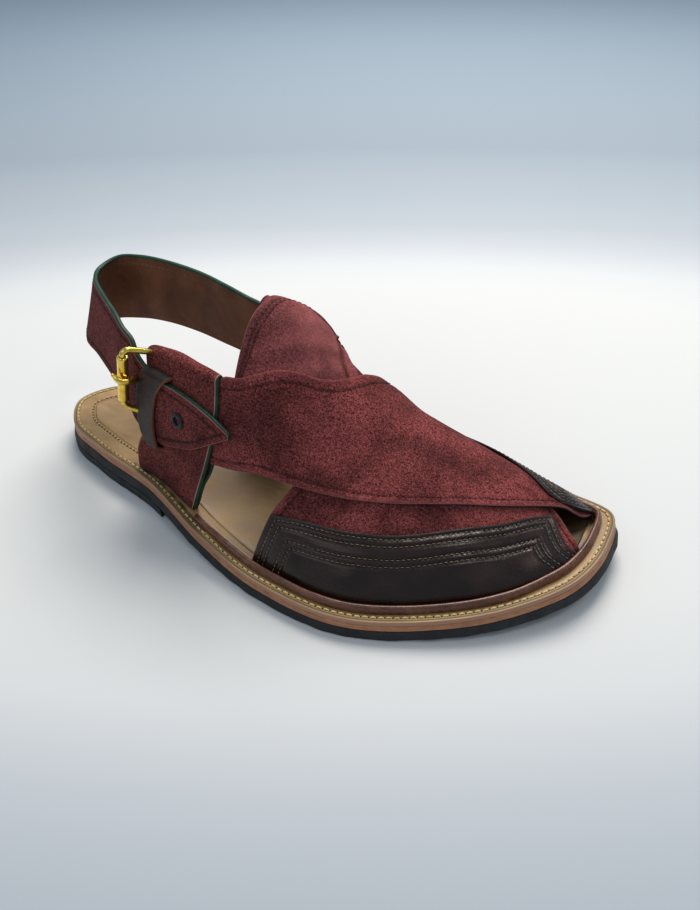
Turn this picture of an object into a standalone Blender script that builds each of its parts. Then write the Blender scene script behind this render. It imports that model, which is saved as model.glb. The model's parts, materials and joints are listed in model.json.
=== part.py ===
"""Peshawari chappal, a right shoe: two suede straps that cross on a stitched leather and rubber sole.

World frame, metres: the sole stands on z = 0, +X points to the toe, +Y to the medial side (the big
toe's side), and the lateral side with the buckle is at -Y. Sizes below are in millimetres.
"""
import bpy
import bmesh
import math
import numpy as np
from mathutils import Vector

MM = 0.001
GAP = 0.3                     # clearance between pieces that lie on each other
LATERAL, MEDIAL = -1, 1

# Sole outline at the ground: name, x from the back of the heel, y from the heel's middle line.
OUTLINE = (
    ("heel back", -0.5, 4.0), ("heel corner", 11.0, -15.0), ("heel side", 37.0, -26.5),
    ("heel breast", 76.0, -37.5), ("waist", 116.0, -54.5), ("joint rear", 156.0, -66.5),
    ("joint", 194.0, -68.5), ("joint front", 228.0, -56.0), ("little toe", 260.0, -35.0),
    ("toe side", 280.5, -10.5), ("toe tip", 286.5, 15.0), ("big toe", 283.5, 36.5),
    ("big toe side", 266.0, 45.5), ("ball front", 230.0, 48.5), ("ball", 195.0, 47.5),
    ("arch front", 160.0, 39.5), ("arch", 120.0, 29.5), ("arch rear", 75.0, 30.5),
    ("heel inside", 34.0, 32.0), ("heel inner corner", 8.0, 22.0),
)

# Heights of the sole's top face, and the depth of each layer below it.
HEEL_TOP, FOREFOOT_TOP = 16.4, 9.7
EASE_FROM, EASE_TO = 70.0, 150.0              # the top slopes down between these stations
SPRING_FROM, SPRING_TO, TOE_SPRING = 195.0, 288.0, 9.5
WELT_DEPTH, MIDSOLE_DEPTH = 2.0, 5.0
HEEL_BREAST = 86.0                            # front face of the heel block
WAIST_RUBBER = 1.0                            # extra thickness of the outsole behind the joint

# Distances in from the ground outline.
WELT_EDGE, MIDSOLE_EDGE, OUTSOLE_EDGE = 1.5, 1.3, 1.0
RAND_OUT, RAND_IN, RAND_HEIGHT = 5.6, 8.5, 3.6
WELT_IN, INSOLE_EDGE, INSOLE_RISE = 13.0, 13.3, 0.0
FEATHER_EDGE = 12.2                           # where the inside of the upper meets the sole

# The last: its sections are set by the length, the ball, the instep and the heel height.
# station x, ridge y, ridge height, flare of the foot line at each side, lean of each wall from
# upright in degrees (inward is positive), and the fullness of the shoulder at each side.
LAST = (
    # x,  ridge_y, ridge_z, flare_lat, flare_med, lean_lat, lean_med, full_lat, full_med
    (60.0, 0.0, 132.0, 3.1, 2.0, 8.0, -10.0, 0.60, 0.85),
    (95.0, 0.0, 120.0, -0.3, 1.0, 9.0, -10.0, 0.60, 0.85),
    (125.0, 1.0, 104.5, -1.5, 0.5, 11.0, -9.0, 0.55, 0.78),
    (145.0, 8.0, 96.5, 0.0, 0.0, 16.0, -4.0, 0.50, 0.68),
    (157.0, 9.0, 81.5, 0.0, 0.0, 20.0, -1.0, 0.47, 0.60),
    (168.0, 9.0, 71.0, 0.0, 0.0, 22.0, 2.0, 0.45, 0.58),
    (200.0, 9.0, 54.5, 0.0, 0.0, 22.0, 6.0, 0.42, 0.58),
    (230.0, 14.0, 41.0, 0.0, 0.0, 20.0, 8.0, 0.42, 0.55),
    (255.0, 19.0, 27.0, 0.0, 0.0, 20.0, 10.0, 0.45, 0.55),
    (275.0, 23.0, 19.5, 0.0, 0.0, 20.0, 10.0, 0.50, 0.50),
)

# Thicknesses of the leathers.
WALL, OVERLAP = 1.8, 0.3                      # the straps' wall, and the depth they share where joined
PANEL_THICK, BAND_THICK, STRAP_THICK, KEEPER_THICK = 1.2, 2.2, 2.2, 1.6
KEEPER_ROOM = 0.6                             # between the strap and the keeper round it
TONGUE_ROOM = 0.6                             # between the under strap and the tongue on it
RAND_FROM, RAND_TO = 110.0, 131.0             # the rand's rear ends

# Straps and overlays laid out on the last. Each row crosses the piece: x and s on its upper edge,
# then x and s on its lower edge, where s is -1 at the lateral foot, 0 at the ridge, 1 at the medial.
OVER_STRAP = (
    (88.0, -0.630, 88.0, -0.90), (103.0, -0.577, 102.0, -0.86), (119.0, -0.508, 117.0, -0.808),
    (124.2, -0.462, 125.0, -0.78),
    (135.0, -0.402, 140.0, -0.72), (151.4, -0.275, 170.0, -0.575), (164.0, -0.08, 203.0, -0.44),
    (168.5, 0.22, 236.0, -0.29), (166.0, 0.55, 258.0, -0.07), (159.0, 0.83, 268.5, 0.22),
    (152.0, 1.0, 272.8, 1.0),
)
UNDER_STRAP = (
    (118.0, 0.52, 117.0, 0.81), (134.0, 0.45, 135.0, 0.74), (143.5, 0.39, 152.0, 0.66),
    (152.0, 0.22, 172.0, 0.57),
    (163.0, 0.08, 203.0, 0.44), (170.0, -0.10, 232.0, 0.30), (169.0, -0.38, 250.0, 0.05),
    (160.0, -0.63, 262.5, -0.155), (152.5, -0.805, 271.5, -0.565), (146.5, -1.0, 273.2, -1.0),
)
TONGUE = (
    (126.8, -0.48, 128.0, -0.56), (127.0, -0.30, 140.0, -0.45), (127.0, -0.10, 152.0, -0.33),
    (129.0, 0.12, 160.0, -0.22), (140.0, 0.21, 167.0, -0.14), (152.0, 0.13, 171.0, -0.09),
    (162.0, -0.03, 174.0, -0.05),
)
LATERAL_PANEL = (
    (153.5, -0.79, 147.5, -1.0), (170.0, -0.71, 170.0, -1.0), (190.0, -0.645, 195.0, -1.0),
    (208.0, -0.585, 218.0, -1.0), (225.0, -0.495, 236.0, -1.0), (242.0, -0.385, 252.0, -1.0),
    (254.0, -0.262, 266.0, -0.985), (258.5, -0.225, 271.8, -0.96), (261.0, -0.235, 270.4, -0.60),
)
MEDIAL_PANEL = (
    (158.0, 0.90, 153.5, 1.0), (175.0, 0.70, 175.0, 1.0), (195.0, 0.58, 200.0, 1.0),
    (215.0, 0.46, 222.0, 1.0), (232.0, 0.34, 240.0, 1.0), (244.0, 0.215, 255.0, 1.0),
    (254.5, 0.06, 266.0, 1.0), (261.0, -0.01, 272.6, 1.0), (266.0, 0.06, 273.0, 0.55),
)

# Side bands: x of the rear and front edge at the foot and at the top, s of the fold at its rear
# and front end, the height above the last of the strap that the fold holds, and the fold's radius.
BAND = {
    "lateral": {"rear_foot": 68.5, "rear_top": 84.0, "front_foot": 108.0, "front_top": 120.5,
                "top_rear": -0.62, "top_front": -0.495, "lift": 2.4, "fold": 2.3,
                "foot": 0.0},
    "medial": {"rear_foot": 88.0, "rear_top": 116.0, "front_foot": 128.0, "front_top": 142.0,
               "top_rear": -0.455, "top_front": -0.36, "lift": 0.9, "fold": 3.0,
               "foot": 0.015},
}

# Heel strap: its pointed end on the lateral band (x and s of the lower and of the upper edge),
# its run round the heel (lower edge, then upper edge), and its end in the medial band.
STRAP_ON_BAND = (
    (131.8, -0.638, 131.8, -0.626), (123.0, -0.70, 123.0, -0.614), (112.0, -0.78, 112.0, -0.62),
    (101.0, -0.832, 103.0, -0.638), (90.0, -0.865, 94.0, -0.653), (82.0, -0.85, 84.0, -0.65),
)
STRAP_ROUND_HEEL = (
    (71.0, -25.5, 57.5, 76.0, -25.5, 85.5), (60.0, -21.5, 54.5, 68.0, -21.5, 88.5),
    (47.0, -14.0, 56.5, 58.0, -15.0, 91.0),
    (31.0, -4.0, 57.5, 42.0, -4.0, 92.0), (17.0, 4.5, 57.5, 28.0, 7.5, 92.0),
    (10.5, 14.0, 57.0, 21.5, 18.0, 91.5), (15.0, 27.0, 58.0, 24.5, 29.0, 93.5),
    (30.0, 31.5, 60.0, 36.0, 31.5, 95.0), (48.0, 31.5, 62.0, 53.0, 31.5, 95.5),
    (69.0, 30.5, 61.5, 74.0, 30.5, 94.0), (86.0, 27.4, 61.0, 91.0, 26.2, 93.0),
)
STRAP_END = ((102.0, 0.785, 105.0, 0.545, 1.2), (110.0, 0.775, 111.0, 0.52, 1.3),
             (115.8, 0.77, 116.2, 0.505, 1.4))
STRAP_TOP = BAND["lateral"]["lift"] + BAND["lateral"]["fold"] + BAND_THICK / 2 + GAP + STRAP_THICK
# Keeper: x and s of its rear and of its front edge, from the lower end to the upper end.
KEEPER = (
    (85.0, -0.887, 92.5, -0.887), (79.5, -0.855, 90.0, -0.835), (78.4, -0.79, 89.5, -0.775),
    (79.8, -0.72, 92.3, -0.70), (84.0, -0.630, 99.5, -0.608),
)

# Brass roller buckle, fastened.
ROD_RADIUS, ROLLER_RADIUS, PRONG_RADIUS, CORNER = 1.4, 2.8, 1.3, 4.0
ROLLER = ((70.9, -34.8, 57.5), (76.9, -34.8, 89.0))                        # ends of its bar
FIXED_BAR = ((77.5, -0.82, 4.0), (81.5, -0.60, 4.0))                     # x, s and lift of its ends
PRONG = ((76.7, -25.9, 70.0), (75.8, -29.5, 70.5), (77.4, -32.2, 71.3), (78.2, -34.8, 72.6),
         (77.9, -37.0, 73.7), (76.2, -38.9, 74.7), (72.6, -39.6, 77.8))
EYELET_AT, EYELET_BORE, EYELET_RADIUS = (103.8, -0.73), 2.1, 4.6


def smooth(knots, values, at):
    """Cubic curve through the knots, its slopes taken from the neighbouring knots."""
    knots, values, at = (np.asarray(a, float) for a in (knots, values, at))
    slopes = np.gradient(values, knots, axis=0)
    i = np.clip(np.searchsorted(knots, at) - 1, 0, len(knots) - 2)
    step = knots[i + 1] - knots[i]
    t = (at - knots[i]) / step
    if values.ndim > 1:
        step, t = step[..., None], t[..., None]
    rise = 3 * t ** 2 - 2 * t ** 3
    return ((1 - rise) * values[i] + rise * values[i + 1]
            + step * (t * (1 - t) ** 2 * slopes[i] - t ** 2 * (1 - t) * slopes[i + 1]))


def ease(x, start, end):
    """0 before start, 1 after end, and smooth between them."""
    t = np.clip((np.asarray(x, float) - start) / (end - start), 0, 1)
    return t * t * (3 - 2 * t)


def outline_branches(samples=1200):
    """The closed outline, cut at heel and toe into its lateral and medial sides."""
    rows = np.array([row[1:] for row in OUTLINE])
    rows = np.vstack((rows[-3:], rows, rows[:4]))
    run = np.concatenate(([0], np.cumsum(np.linalg.norm(np.diff(rows, axis=0), axis=1))))
    loop = smooth(run, rows, np.linspace(run[3], run[-4], samples))
    heel, toe = loop[:, 0].argmin(), loop[:, 0].argmax()
    if heel > toe:
        heel -= samples
    lateral = np.roll(loop, -heel, axis=0)[:toe - heel + 1]
    medial = np.roll(loop, -toe, axis=0)[:samples - (toe - heel) + 1][::-1]
    return {LATERAL: lateral, MEDIAL: medial}


BRANCH = outline_branches()


def edge_y(x, inset, side):
    """y of one side of the sole at station x, moved in from the outline by inset."""
    px, py = BRANCH[side].T
    if inset <= 0:
        return np.interp(x, px, py)
    away = np.atleast_1d(np.asarray(x, float))[:, None] - px
    reach = np.sqrt(np.clip(inset ** 2 - away ** 2, 0, None))
    inner = np.where(abs(away) <= inset, -side * py + reach, -np.inf).max(axis=1)
    return (-side * inner).reshape(np.shape(x))


def ends(inset):
    """First and last station that the outline has when it is moved in by inset."""
    heel, toe = BRANCH[MEDIAL][0, 0], BRANCH[MEDIAL][-1, 0]
    x = np.linspace(heel + inset + 0.02, toe - inset - 0.02, 5801)
    wide = x[edge_y(x, inset, MEDIAL) - edge_y(x, inset, LATERAL) > 1.5]
    return wide[0], wide[-1]


def rim_height(x):
    """Height of the sole's top face."""
    spring = np.clip((np.asarray(x, float) - SPRING_FROM) / (SPRING_TO - SPRING_FROM), 0, None)
    slope_down = HEEL_TOP + (FOREFOOT_TOP - HEEL_TOP) * ease(x, EASE_FROM, EASE_TO)
    return slope_down + TOE_SPRING * spring ** 2


def rim_slope(x):
    """Slope of the toe spring, by which the layers' edges lean forward."""
    spring = np.clip((np.asarray(x, float) - SPRING_FROM) / (SPRING_TO - SPRING_FROM), 0, None)
    return 2 * TOE_SPRING * spring / (SPRING_TO - SPRING_FROM)


def sole_points(x, y, depth):
    """Points on the sole at a depth below its top face."""
    x, y = np.asarray(x, float), np.asarray(y, float)
    depth = depth(x) if callable(depth) else depth
    return np.stack((x + depth * rim_slope(x), y, rim_height(x) - depth), axis=-1)


def last_sections(x):
    """The last's sizes at station x: one value for each column of LAST."""
    table = np.array(LAST)
    return smooth(table[:, 0], table[:, 1:], x)


def last_point(x, s):
    """Point inside the upper: s runs from -1 at the lateral foot over 0 at the ridge to 1."""
    x, s = np.broadcast_arrays(np.asarray(x, float), np.asarray(s, float))
    row = last_sections(x)
    ridge = np.stack((row[..., 0], row[..., 1]), axis=-1)
    foot_z = rim_height(x) + GAP
    u = (1 - abs(s))[..., None]
    section = np.zeros(x.shape + (2,))
    for side, flare, lean, full in ((LATERAL, 2, 4, 6), (MEDIAL, 3, 5, 7)):
        foot_y = edge_y(x.ravel(), FEATHER_EDGE, side).reshape(x.shape) + side * row[..., flare]
        height = ridge[..., 1] - foot_z
        wall = row[..., full] * height
        foot = np.stack((foot_y, foot_z), axis=-1)
        above = np.stack((foot_y - side * wall * np.tan(np.radians(row[..., lean])),
                          foot_z + wall), axis=-1)
        beside = ridge + np.stack((row[..., full] * (foot_y - ridge[..., 0]),
                                   np.zeros(x.shape)), axis=-1)
        curve = ((1 - u) ** 3 * foot + 3 * u * (1 - u) ** 2 * above
                 + 3 * u ** 2 * (1 - u) * beside + u ** 3 * ridge)
        section = np.where((s * side > 0)[..., None] | ((s == 0) & (side > 0))[..., None],
                           curve, section)
    return np.concatenate((x[..., None], section), axis=-1)


def last_normal(x, s):
    """Outward normal of the last."""
    x, s = np.asarray(x, float), np.asarray(s, float)
    along = last_point(x + 0.2, s) - last_point(x - 0.2, s)
    across = last_point(x, s + 0.01) - last_point(x, s - 0.01)
    normal = np.cross(along, across)
    return normal / np.linalg.norm(normal, axis=-1, keepdims=True)


# ---- modelling helpers

def on_last(x, s, lift):
    """Point at a height above the last."""
    s = np.asarray(s, float)
    lift = np.asarray(lift, float)
    return last_point(x, s) + lift[..., None] * last_normal(x, s)


def new_object(name, points, faces, material, collection):
    """A mesh object from points in millimetres, recentred on the sole."""
    mesh = bpy.data.meshes.new(name)
    mesh.from_pydata([tuple(p) for p in np.asarray(points) * MM + CENTRE], [], faces)
    mesh.update()
    mesh.materials.append(material)
    mesh.shade_smooth()
    mesh.set_sharp_from_angle(angle=math.radians(40))
    item = bpy.data.objects.new(name, mesh)
    collection.objects.link(item)
    return item


def leather_shell(item, thickness, side=1.0):
    """Turn an open surface into a wall; side 1 grows outward, 0 both ways."""
    solid = item.modifiers.new("thickness", "SOLIDIFY")
    solid.thickness = thickness * MM
    solid.offset = side
    solid.use_even_offset = False
    solid.use_quality_normals = True
    return item


def grid_faces(rows, columns):
    """Faces of a grid of points, rows x columns, whose normals follow rows cross columns."""
    return [(i * columns + j, (i + 1) * columns + j, (i + 1) * columns + j + 1, i * columns + j + 1)
            for i in range(rows - 1) for j in range(columns - 1)]


def patch(name, table, lift, steps, material, collection):
    """An open surface on the last between two edges.

    A table row is (x, s) on the upper edge and (x, s) on the lower edge. lift is the height above
    the last, as a function of x, s and v, where v runs from 0 at the upper edge to 1 at the lower.
    """
    along, across = steps
    rows = np.array(table, float)
    at = np.linspace(0, len(rows) - 1, along)
    rows = smooth(np.arange(len(rows)), rows, at)
    v = np.linspace(0, 1, across)
    x = rows[:, 0, None] + (rows[:, 2] - rows[:, 0])[:, None] * v
    s = rows[:, 1, None] + (rows[:, 3] - rows[:, 1])[:, None] * v
    points = on_last(x, s, lift(x, s, v[None, :] + 0 * x))
    outward = np.cross(points[-1, 0] - points[0, 0], points[along // 2, -1] - points[along // 2, 0])
    middle = last_normal(x[along // 2, across // 2], s[along // 2, across // 2])
    if np.dot(outward, middle) < 0:
        points = points[::-1]
    return new_object(name, points.reshape(-1, 3), grid_faces(along, across), material, collection)


def boundary(inset, depth, first=None, last=None, steps=40):
    """Closed edge of a sole layer: lateral side to the toe, then the medial side back."""
    start, end = ends(inset)
    turn = np.linspace(0, math.pi, steps)
    if last is not None:
        end, turn = last, turn / 2
    x = start + (end - start) * (1 - np.cos(turn)) / (1 - math.cos(turn[-1]))
    sides = [sole_points(x, edge_y(x, inset, side), depth) for side in (LATERAL, MEDIAL)]
    return np.vstack((sides[0], sides[1][::-1]))


def stitch_loops(loops, closed):
    """Faces between loops of equal length, and from the last loop to the first if closed."""
    count = len(loops[0])
    faces = []
    for k in range(len(loops) if closed else len(loops) - 1):
        low, high = k * count, (k + 1) % len(loops) * count
        faces += [(low + i, low + (i + 1) % count, high + (i + 1) % count, high + i)
                  for i in range(count)]
    return faces


def slab(name, upper, lower, material, collection, last=None, steps=40):
    """A sole layer between an upper and a lower edge, each (inset, depth)."""
    top = boundary(*upper, last=last, steps=steps)
    bottom = boundary(*lower, last=last, steps=steps)
    count = len(top)
    faces = stitch_loops((bottom, top), closed=False)
    for i in range(count // 2 - 1):
        j = count - 1 - i
        faces.append((count + i, count + i + 1, count + j - 1, count + j))
        faces.append((i, j, j - 1, i + 1))
    return new_object(name, np.vstack((bottom, top)), faces, material, collection)


def strip_path(inset, height, steps=26):
    """The forefoot's edge line, from the lateral band round the toe to the medial band."""
    end = ends(inset)[1]
    turn = np.sin(np.linspace(0, math.pi / 2, steps))
    lateral_x = RAND_FROM + (end - RAND_FROM) * turn
    medial_x = (RAND_TO + (end - RAND_TO) * turn)[::-1]
    sides = [sole_points(x, edge_y(x, inset, side), -height)
             for x, side in ((lateral_x, LATERAL), (medial_x, MEDIAL))]
    return np.vstack(sides)


def make_rand(material, collection):
    """Rounded leather strip between the welt and the straps, open at the heel."""
    middle, half = (RAND_OUT + RAND_IN) / 2, (RAND_IN - RAND_OUT) / 2
    section = [(middle + half * math.cos(a), GAP + RAND_HEIGHT * math.sin(a) ** 0.6)
               for a in np.linspace(0, math.pi, 6)]
    section = [(inset, GAP if abs(height - GAP) < 0.01 else height) for inset, height in section]
    loops = np.array([strip_path(*place) for place in section])
    count, size = loops.shape[1], len(section)
    faces = []
    for i in range(count - 1):
        for k in range(size):
            nxt = (k + 1) % size
            faces.append((k * count + i, nxt * count + i, nxt * count + i + 1, k * count + i + 1))
    faces.append(tuple(k * count for k in range(size))[::-1])
    faces.append(tuple(k * count + count - 1 for k in range(size)))
    return new_object("rand", loops.reshape(-1, 3), faces, material, collection)


def make_welt(material, collection):
    """Leather ring round the whole sole."""
    edges = ((WELT_EDGE, WELT_DEPTH), (WELT_EDGE, 0.0), (WELT_IN, 0.0), (WELT_IN, WELT_DEPTH))
    loops = [boundary(*edge) for edge in edges]
    return new_object("welt", np.vstack(loops), stitch_loops(loops, closed=True), material,
                      collection)


def outsole_bottom(x):
    """Depth of the outsole's underside below the rim."""
    behind = 1 - ease(x, 105.0, EASE_TO)
    return FOREFOOT_TOP + WAIST_RUBBER * behind


def over_strap_lift(x, s, v):
    """Height of the over strap: on the under strap, raised over the tongue, down at its foot."""
    above_tongue = ((1 - ease(v, 0.30, 0.62)) * ease(x, 122.0, 130.0) * (1 - ease(x, 178.0, 196.0))
                    * (1 - ease(s, 0.24, 0.50)))
    stacked = tongue_lift(x, s, v) + WALL + 2 * GAP
    laid = (WALL - OVERLAP) * (1 - ease(s, 0.68, 0.97))
    laid *= 1 - ease(x, 262.0, 271.0)
    return laid + np.clip(stacked - laid, 0, None) * above_tongue


def tongue_lift(x, s, v):
    """Height of the tongue: on the last at the lateral side, on the under strap at the medial."""
    return (WALL + TONGUE_ROOM) * ease(s, -0.36, -0.10)


def panel_lift(x, s, v):
    """Height of the medial overlay, on the over strap."""
    return over_strap_lift(x, s, 1 + 0 * x) + WALL + GAP


def make_band(name, side, shape, material, collection):
    """Folded side band: an inner leg, a round fold and an outer leg in one sheet."""
    across, legs, turn = 7, 6, 6
    u = np.linspace(0, 1, across)[:, None]
    rise = np.linspace(0, 1, legs)[None, :]

    def leg(lift, foot_lift):
        s_foot = -1 + foot_lift
        rear = shape["rear_foot"] + (shape["rear_top"] - shape["rear_foot"]) * ease(rise, 0.10, 0.50)
        front = (shape["front_foot"] + (shape["front_top"] - shape["front_foot"])
                 * 1.08 * np.sin(2 * rise))
        top = shape["top_rear"] + (shape["top_front"] - shape["top_rear"]) * u
        x = rear + (front - rear) * u
        s = s_foot + (top - s_foot) * rise
        return x, -side * s, lift + 0 * x

    inner = on_last(*leg(shape["lift"] - shape["fold"], 0.035))
    outer = on_last(*leg(shape["lift"] + shape["fold"], shape["foot"]))
    crown = (inner[:, -1] + outer[:, -1]) / 2
    reach = (outer[:, -1] - inner[:, -1]) / 2
    up = outer[:, -1] - outer[:, -2]
    up /= np.linalg.norm(up, axis=-1, keepdims=True)
    fold = [crown - reach * math.cos(a) + up * shape["fold"] * math.sin(a)
            for a in np.linspace(0, math.pi, turn + 1)[1:-1]]
    sheet = np.concatenate((inner, np.stack(fold, axis=1), outer[:, ::-1]), axis=1)
    if side == MEDIAL:
        sheet = sheet[::-1]
    item = new_object(name, sheet.reshape(-1, 3), grid_faces(*sheet.shape[:2]), material,
                      collection)
    return leather_shell(item, BAND_THICK, 0.0)


def ribbon(name, low, high, thickness, material, collection, across=5):
    """A strap between a lower and an upper edge line."""
    v = np.linspace(0, 1, across)[None, :, None]
    sheet = low[:, None] + (high - low)[:, None] * v
    item = new_object(name, sheet.reshape(-1, 3), grid_faces(*sheet.shape[:2]), material,
                      collection)
    return leather_shell(item, thickness, 0.0)


def heel_strap_edges(steps=44):
    """Lower and upper edge of the heel strap, from its tip round the heel to the medial band."""
    on_band = BAND["lateral"]["lift"] + BAND["lateral"]["fold"] + BAND_THICK / 2 + GAP + STRAP_THICK / 2
    rows = [np.concatenate((on_last(xl, sl, on_band), on_last(xh, sh, on_band)))
            for xl, sl, xh, sh in STRAP_ON_BAND]
    rows += [np.array(row) for row in STRAP_ROUND_HEEL]
    rows += [np.concatenate((on_last(xl, sl, lift), on_last(xh, sh, lift)))
             for xl, sl, xh, sh, lift in STRAP_END]
    rows = np.array(rows)
    middle = (rows[:, :3] + rows[:, 3:]) / 2
    run = np.concatenate(([0], np.cumsum(np.linalg.norm(np.diff(middle, axis=0), axis=1))))
    both = smooth(run, rows, np.linspace(0, run[-1], steps))
    return both[:, :3], both[:, 3:]


def rod(name, points, radius, material, collection, sides=2, cyclic=False):
    """A round rod along points, as a mesh."""
    curve = bpy.data.curves.new(name, "CURVE")
    curve.dimensions = "3D"
    curve.bevel_depth = radius * MM
    curve.bevel_resolution = sides
    curve.use_fill_caps = True
    line = curve.splines.new("POLY")
    line.points.add(len(points) - 1)
    for knot, place in zip(line.points, points):
        knot.co = (*(Vector(place) * MM + Vector(CENTRE)), 1.0)
    line.use_cyclic_u = cyclic
    source = bpy.data.objects.new(name + "_path", curve)
    collection.objects.link(source)
    bpy.context.view_layer.update()
    mesh = bpy.data.meshes.new_from_object(source.evaluated_get(
        bpy.context.evaluated_depsgraph_get()))
    bpy.data.objects.remove(source)
    body = bmesh.new()
    body.from_mesh(mesh)
    bmesh.ops.remove_doubles(body, verts=body.verts, dist=0.00001)
    bmesh.ops.recalc_face_normals(body, faces=body.faces)
    body.to_mesh(mesh)
    body.free()
    mesh.name = name
    mesh.materials.clear()
    mesh.materials.append(material)
    mesh.shade_smooth()
    mesh.set_sharp_from_angle(angle=math.radians(50))
    item = bpy.data.objects.new(name, mesh)
    collection.objects.link(item)
    return item


def turned(name, centre, axis, profile, material, collection, sides=16):
    """A ring turned round an axis from a closed profile of (radius, height) rows."""
    axis = Vector(axis).normalized()
    across = axis.orthogonal().normalized()
    third = axis.cross(across)
    loops = [[Vector(centre) + axis * height
              + (across * math.cos(a) + third * math.sin(a)) * radius
              for a in np.linspace(0, 2 * math.pi, sides, endpoint=False)]
             for radius, height in profile]
    points = [tuple(p) for loop in loops for p in loop]
    return new_object(name, points, stitch_loops(loops, closed=True), material, collection)


def cut(item, cutter):
    """Take a hidden cutter's shape out of an item."""
    cutter.hide_render = True
    cutter.display_type = "WIRE"
    trim = item.modifiers.new("cut", "BOOLEAN")
    trim.operation = "DIFFERENCE"
    trim.object = cutter


def make_keeper(material, collection, across=4):
    """Leather loop over the strap, its two ends sewn down on the band."""
    over = STRAP_TOP + KEEPER_ROOM + KEEPER_THICK / 2
    path = ((0.0, STRAP_TOP - STRAP_THICK), (0.0, STRAP_TOP - 0.6), (0.035, over), (0.14, over),
            (0.27, over), (0.4, over), (0.5, over), (0.6, over), (0.73, over), (0.86, over),
            (0.965, over), (1.0, STRAP_TOP - 0.6), (1.0, STRAP_TOP - STRAP_THICK))
    t, lift = np.array(path).T
    rows = np.array(KEEPER)
    rows = smooth(np.linspace(0, 1, len(rows)), rows, t)
    v = np.linspace(0, 1, across)[:, None]
    x = rows[:, 0] + (rows[:, 2] - rows[:, 0]) * v
    s = rows[:, 1] + (rows[:, 3] - rows[:, 1]) * v
    sheet = on_last(x, s, lift + 0 * x)
    item = new_object("keeper", sheet.reshape(-1, 3), grid_faces(*sheet.shape[:2]), material,
                      collection)
    return leather_shell(item, KEEPER_THICK, 0.0)


def rounded_loop(corners, radius, steps=4):
    """A closed path through corners, each turned with a rounded bend."""
    corners = [Vector(corner) for corner in corners]
    path = []
    for k, corner in enumerate(corners):
        before = (corners[k - 1] - corner).normalized() * radius
        after = (corners[(k + 1) % len(corners)] - corner).normalized() * radius
        for t in np.linspace(0, 1, steps):
            path.append(corner + before * (1 - t) ** 2 + after * t ** 2)
    return path


def material(name, colour, roughness, metallic=0.0):
    """A plain Principled material."""
    made = bpy.data.materials.new(name)
    made.use_nodes = True
    shader = made.node_tree.nodes["Principled BSDF"]
    shader.inputs["Base Color"].default_value = (*colour, 1.0)
    shader.inputs["Roughness"].default_value = roughness
    shader.inputs["Metallic"].default_value = metallic
    return made


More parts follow.
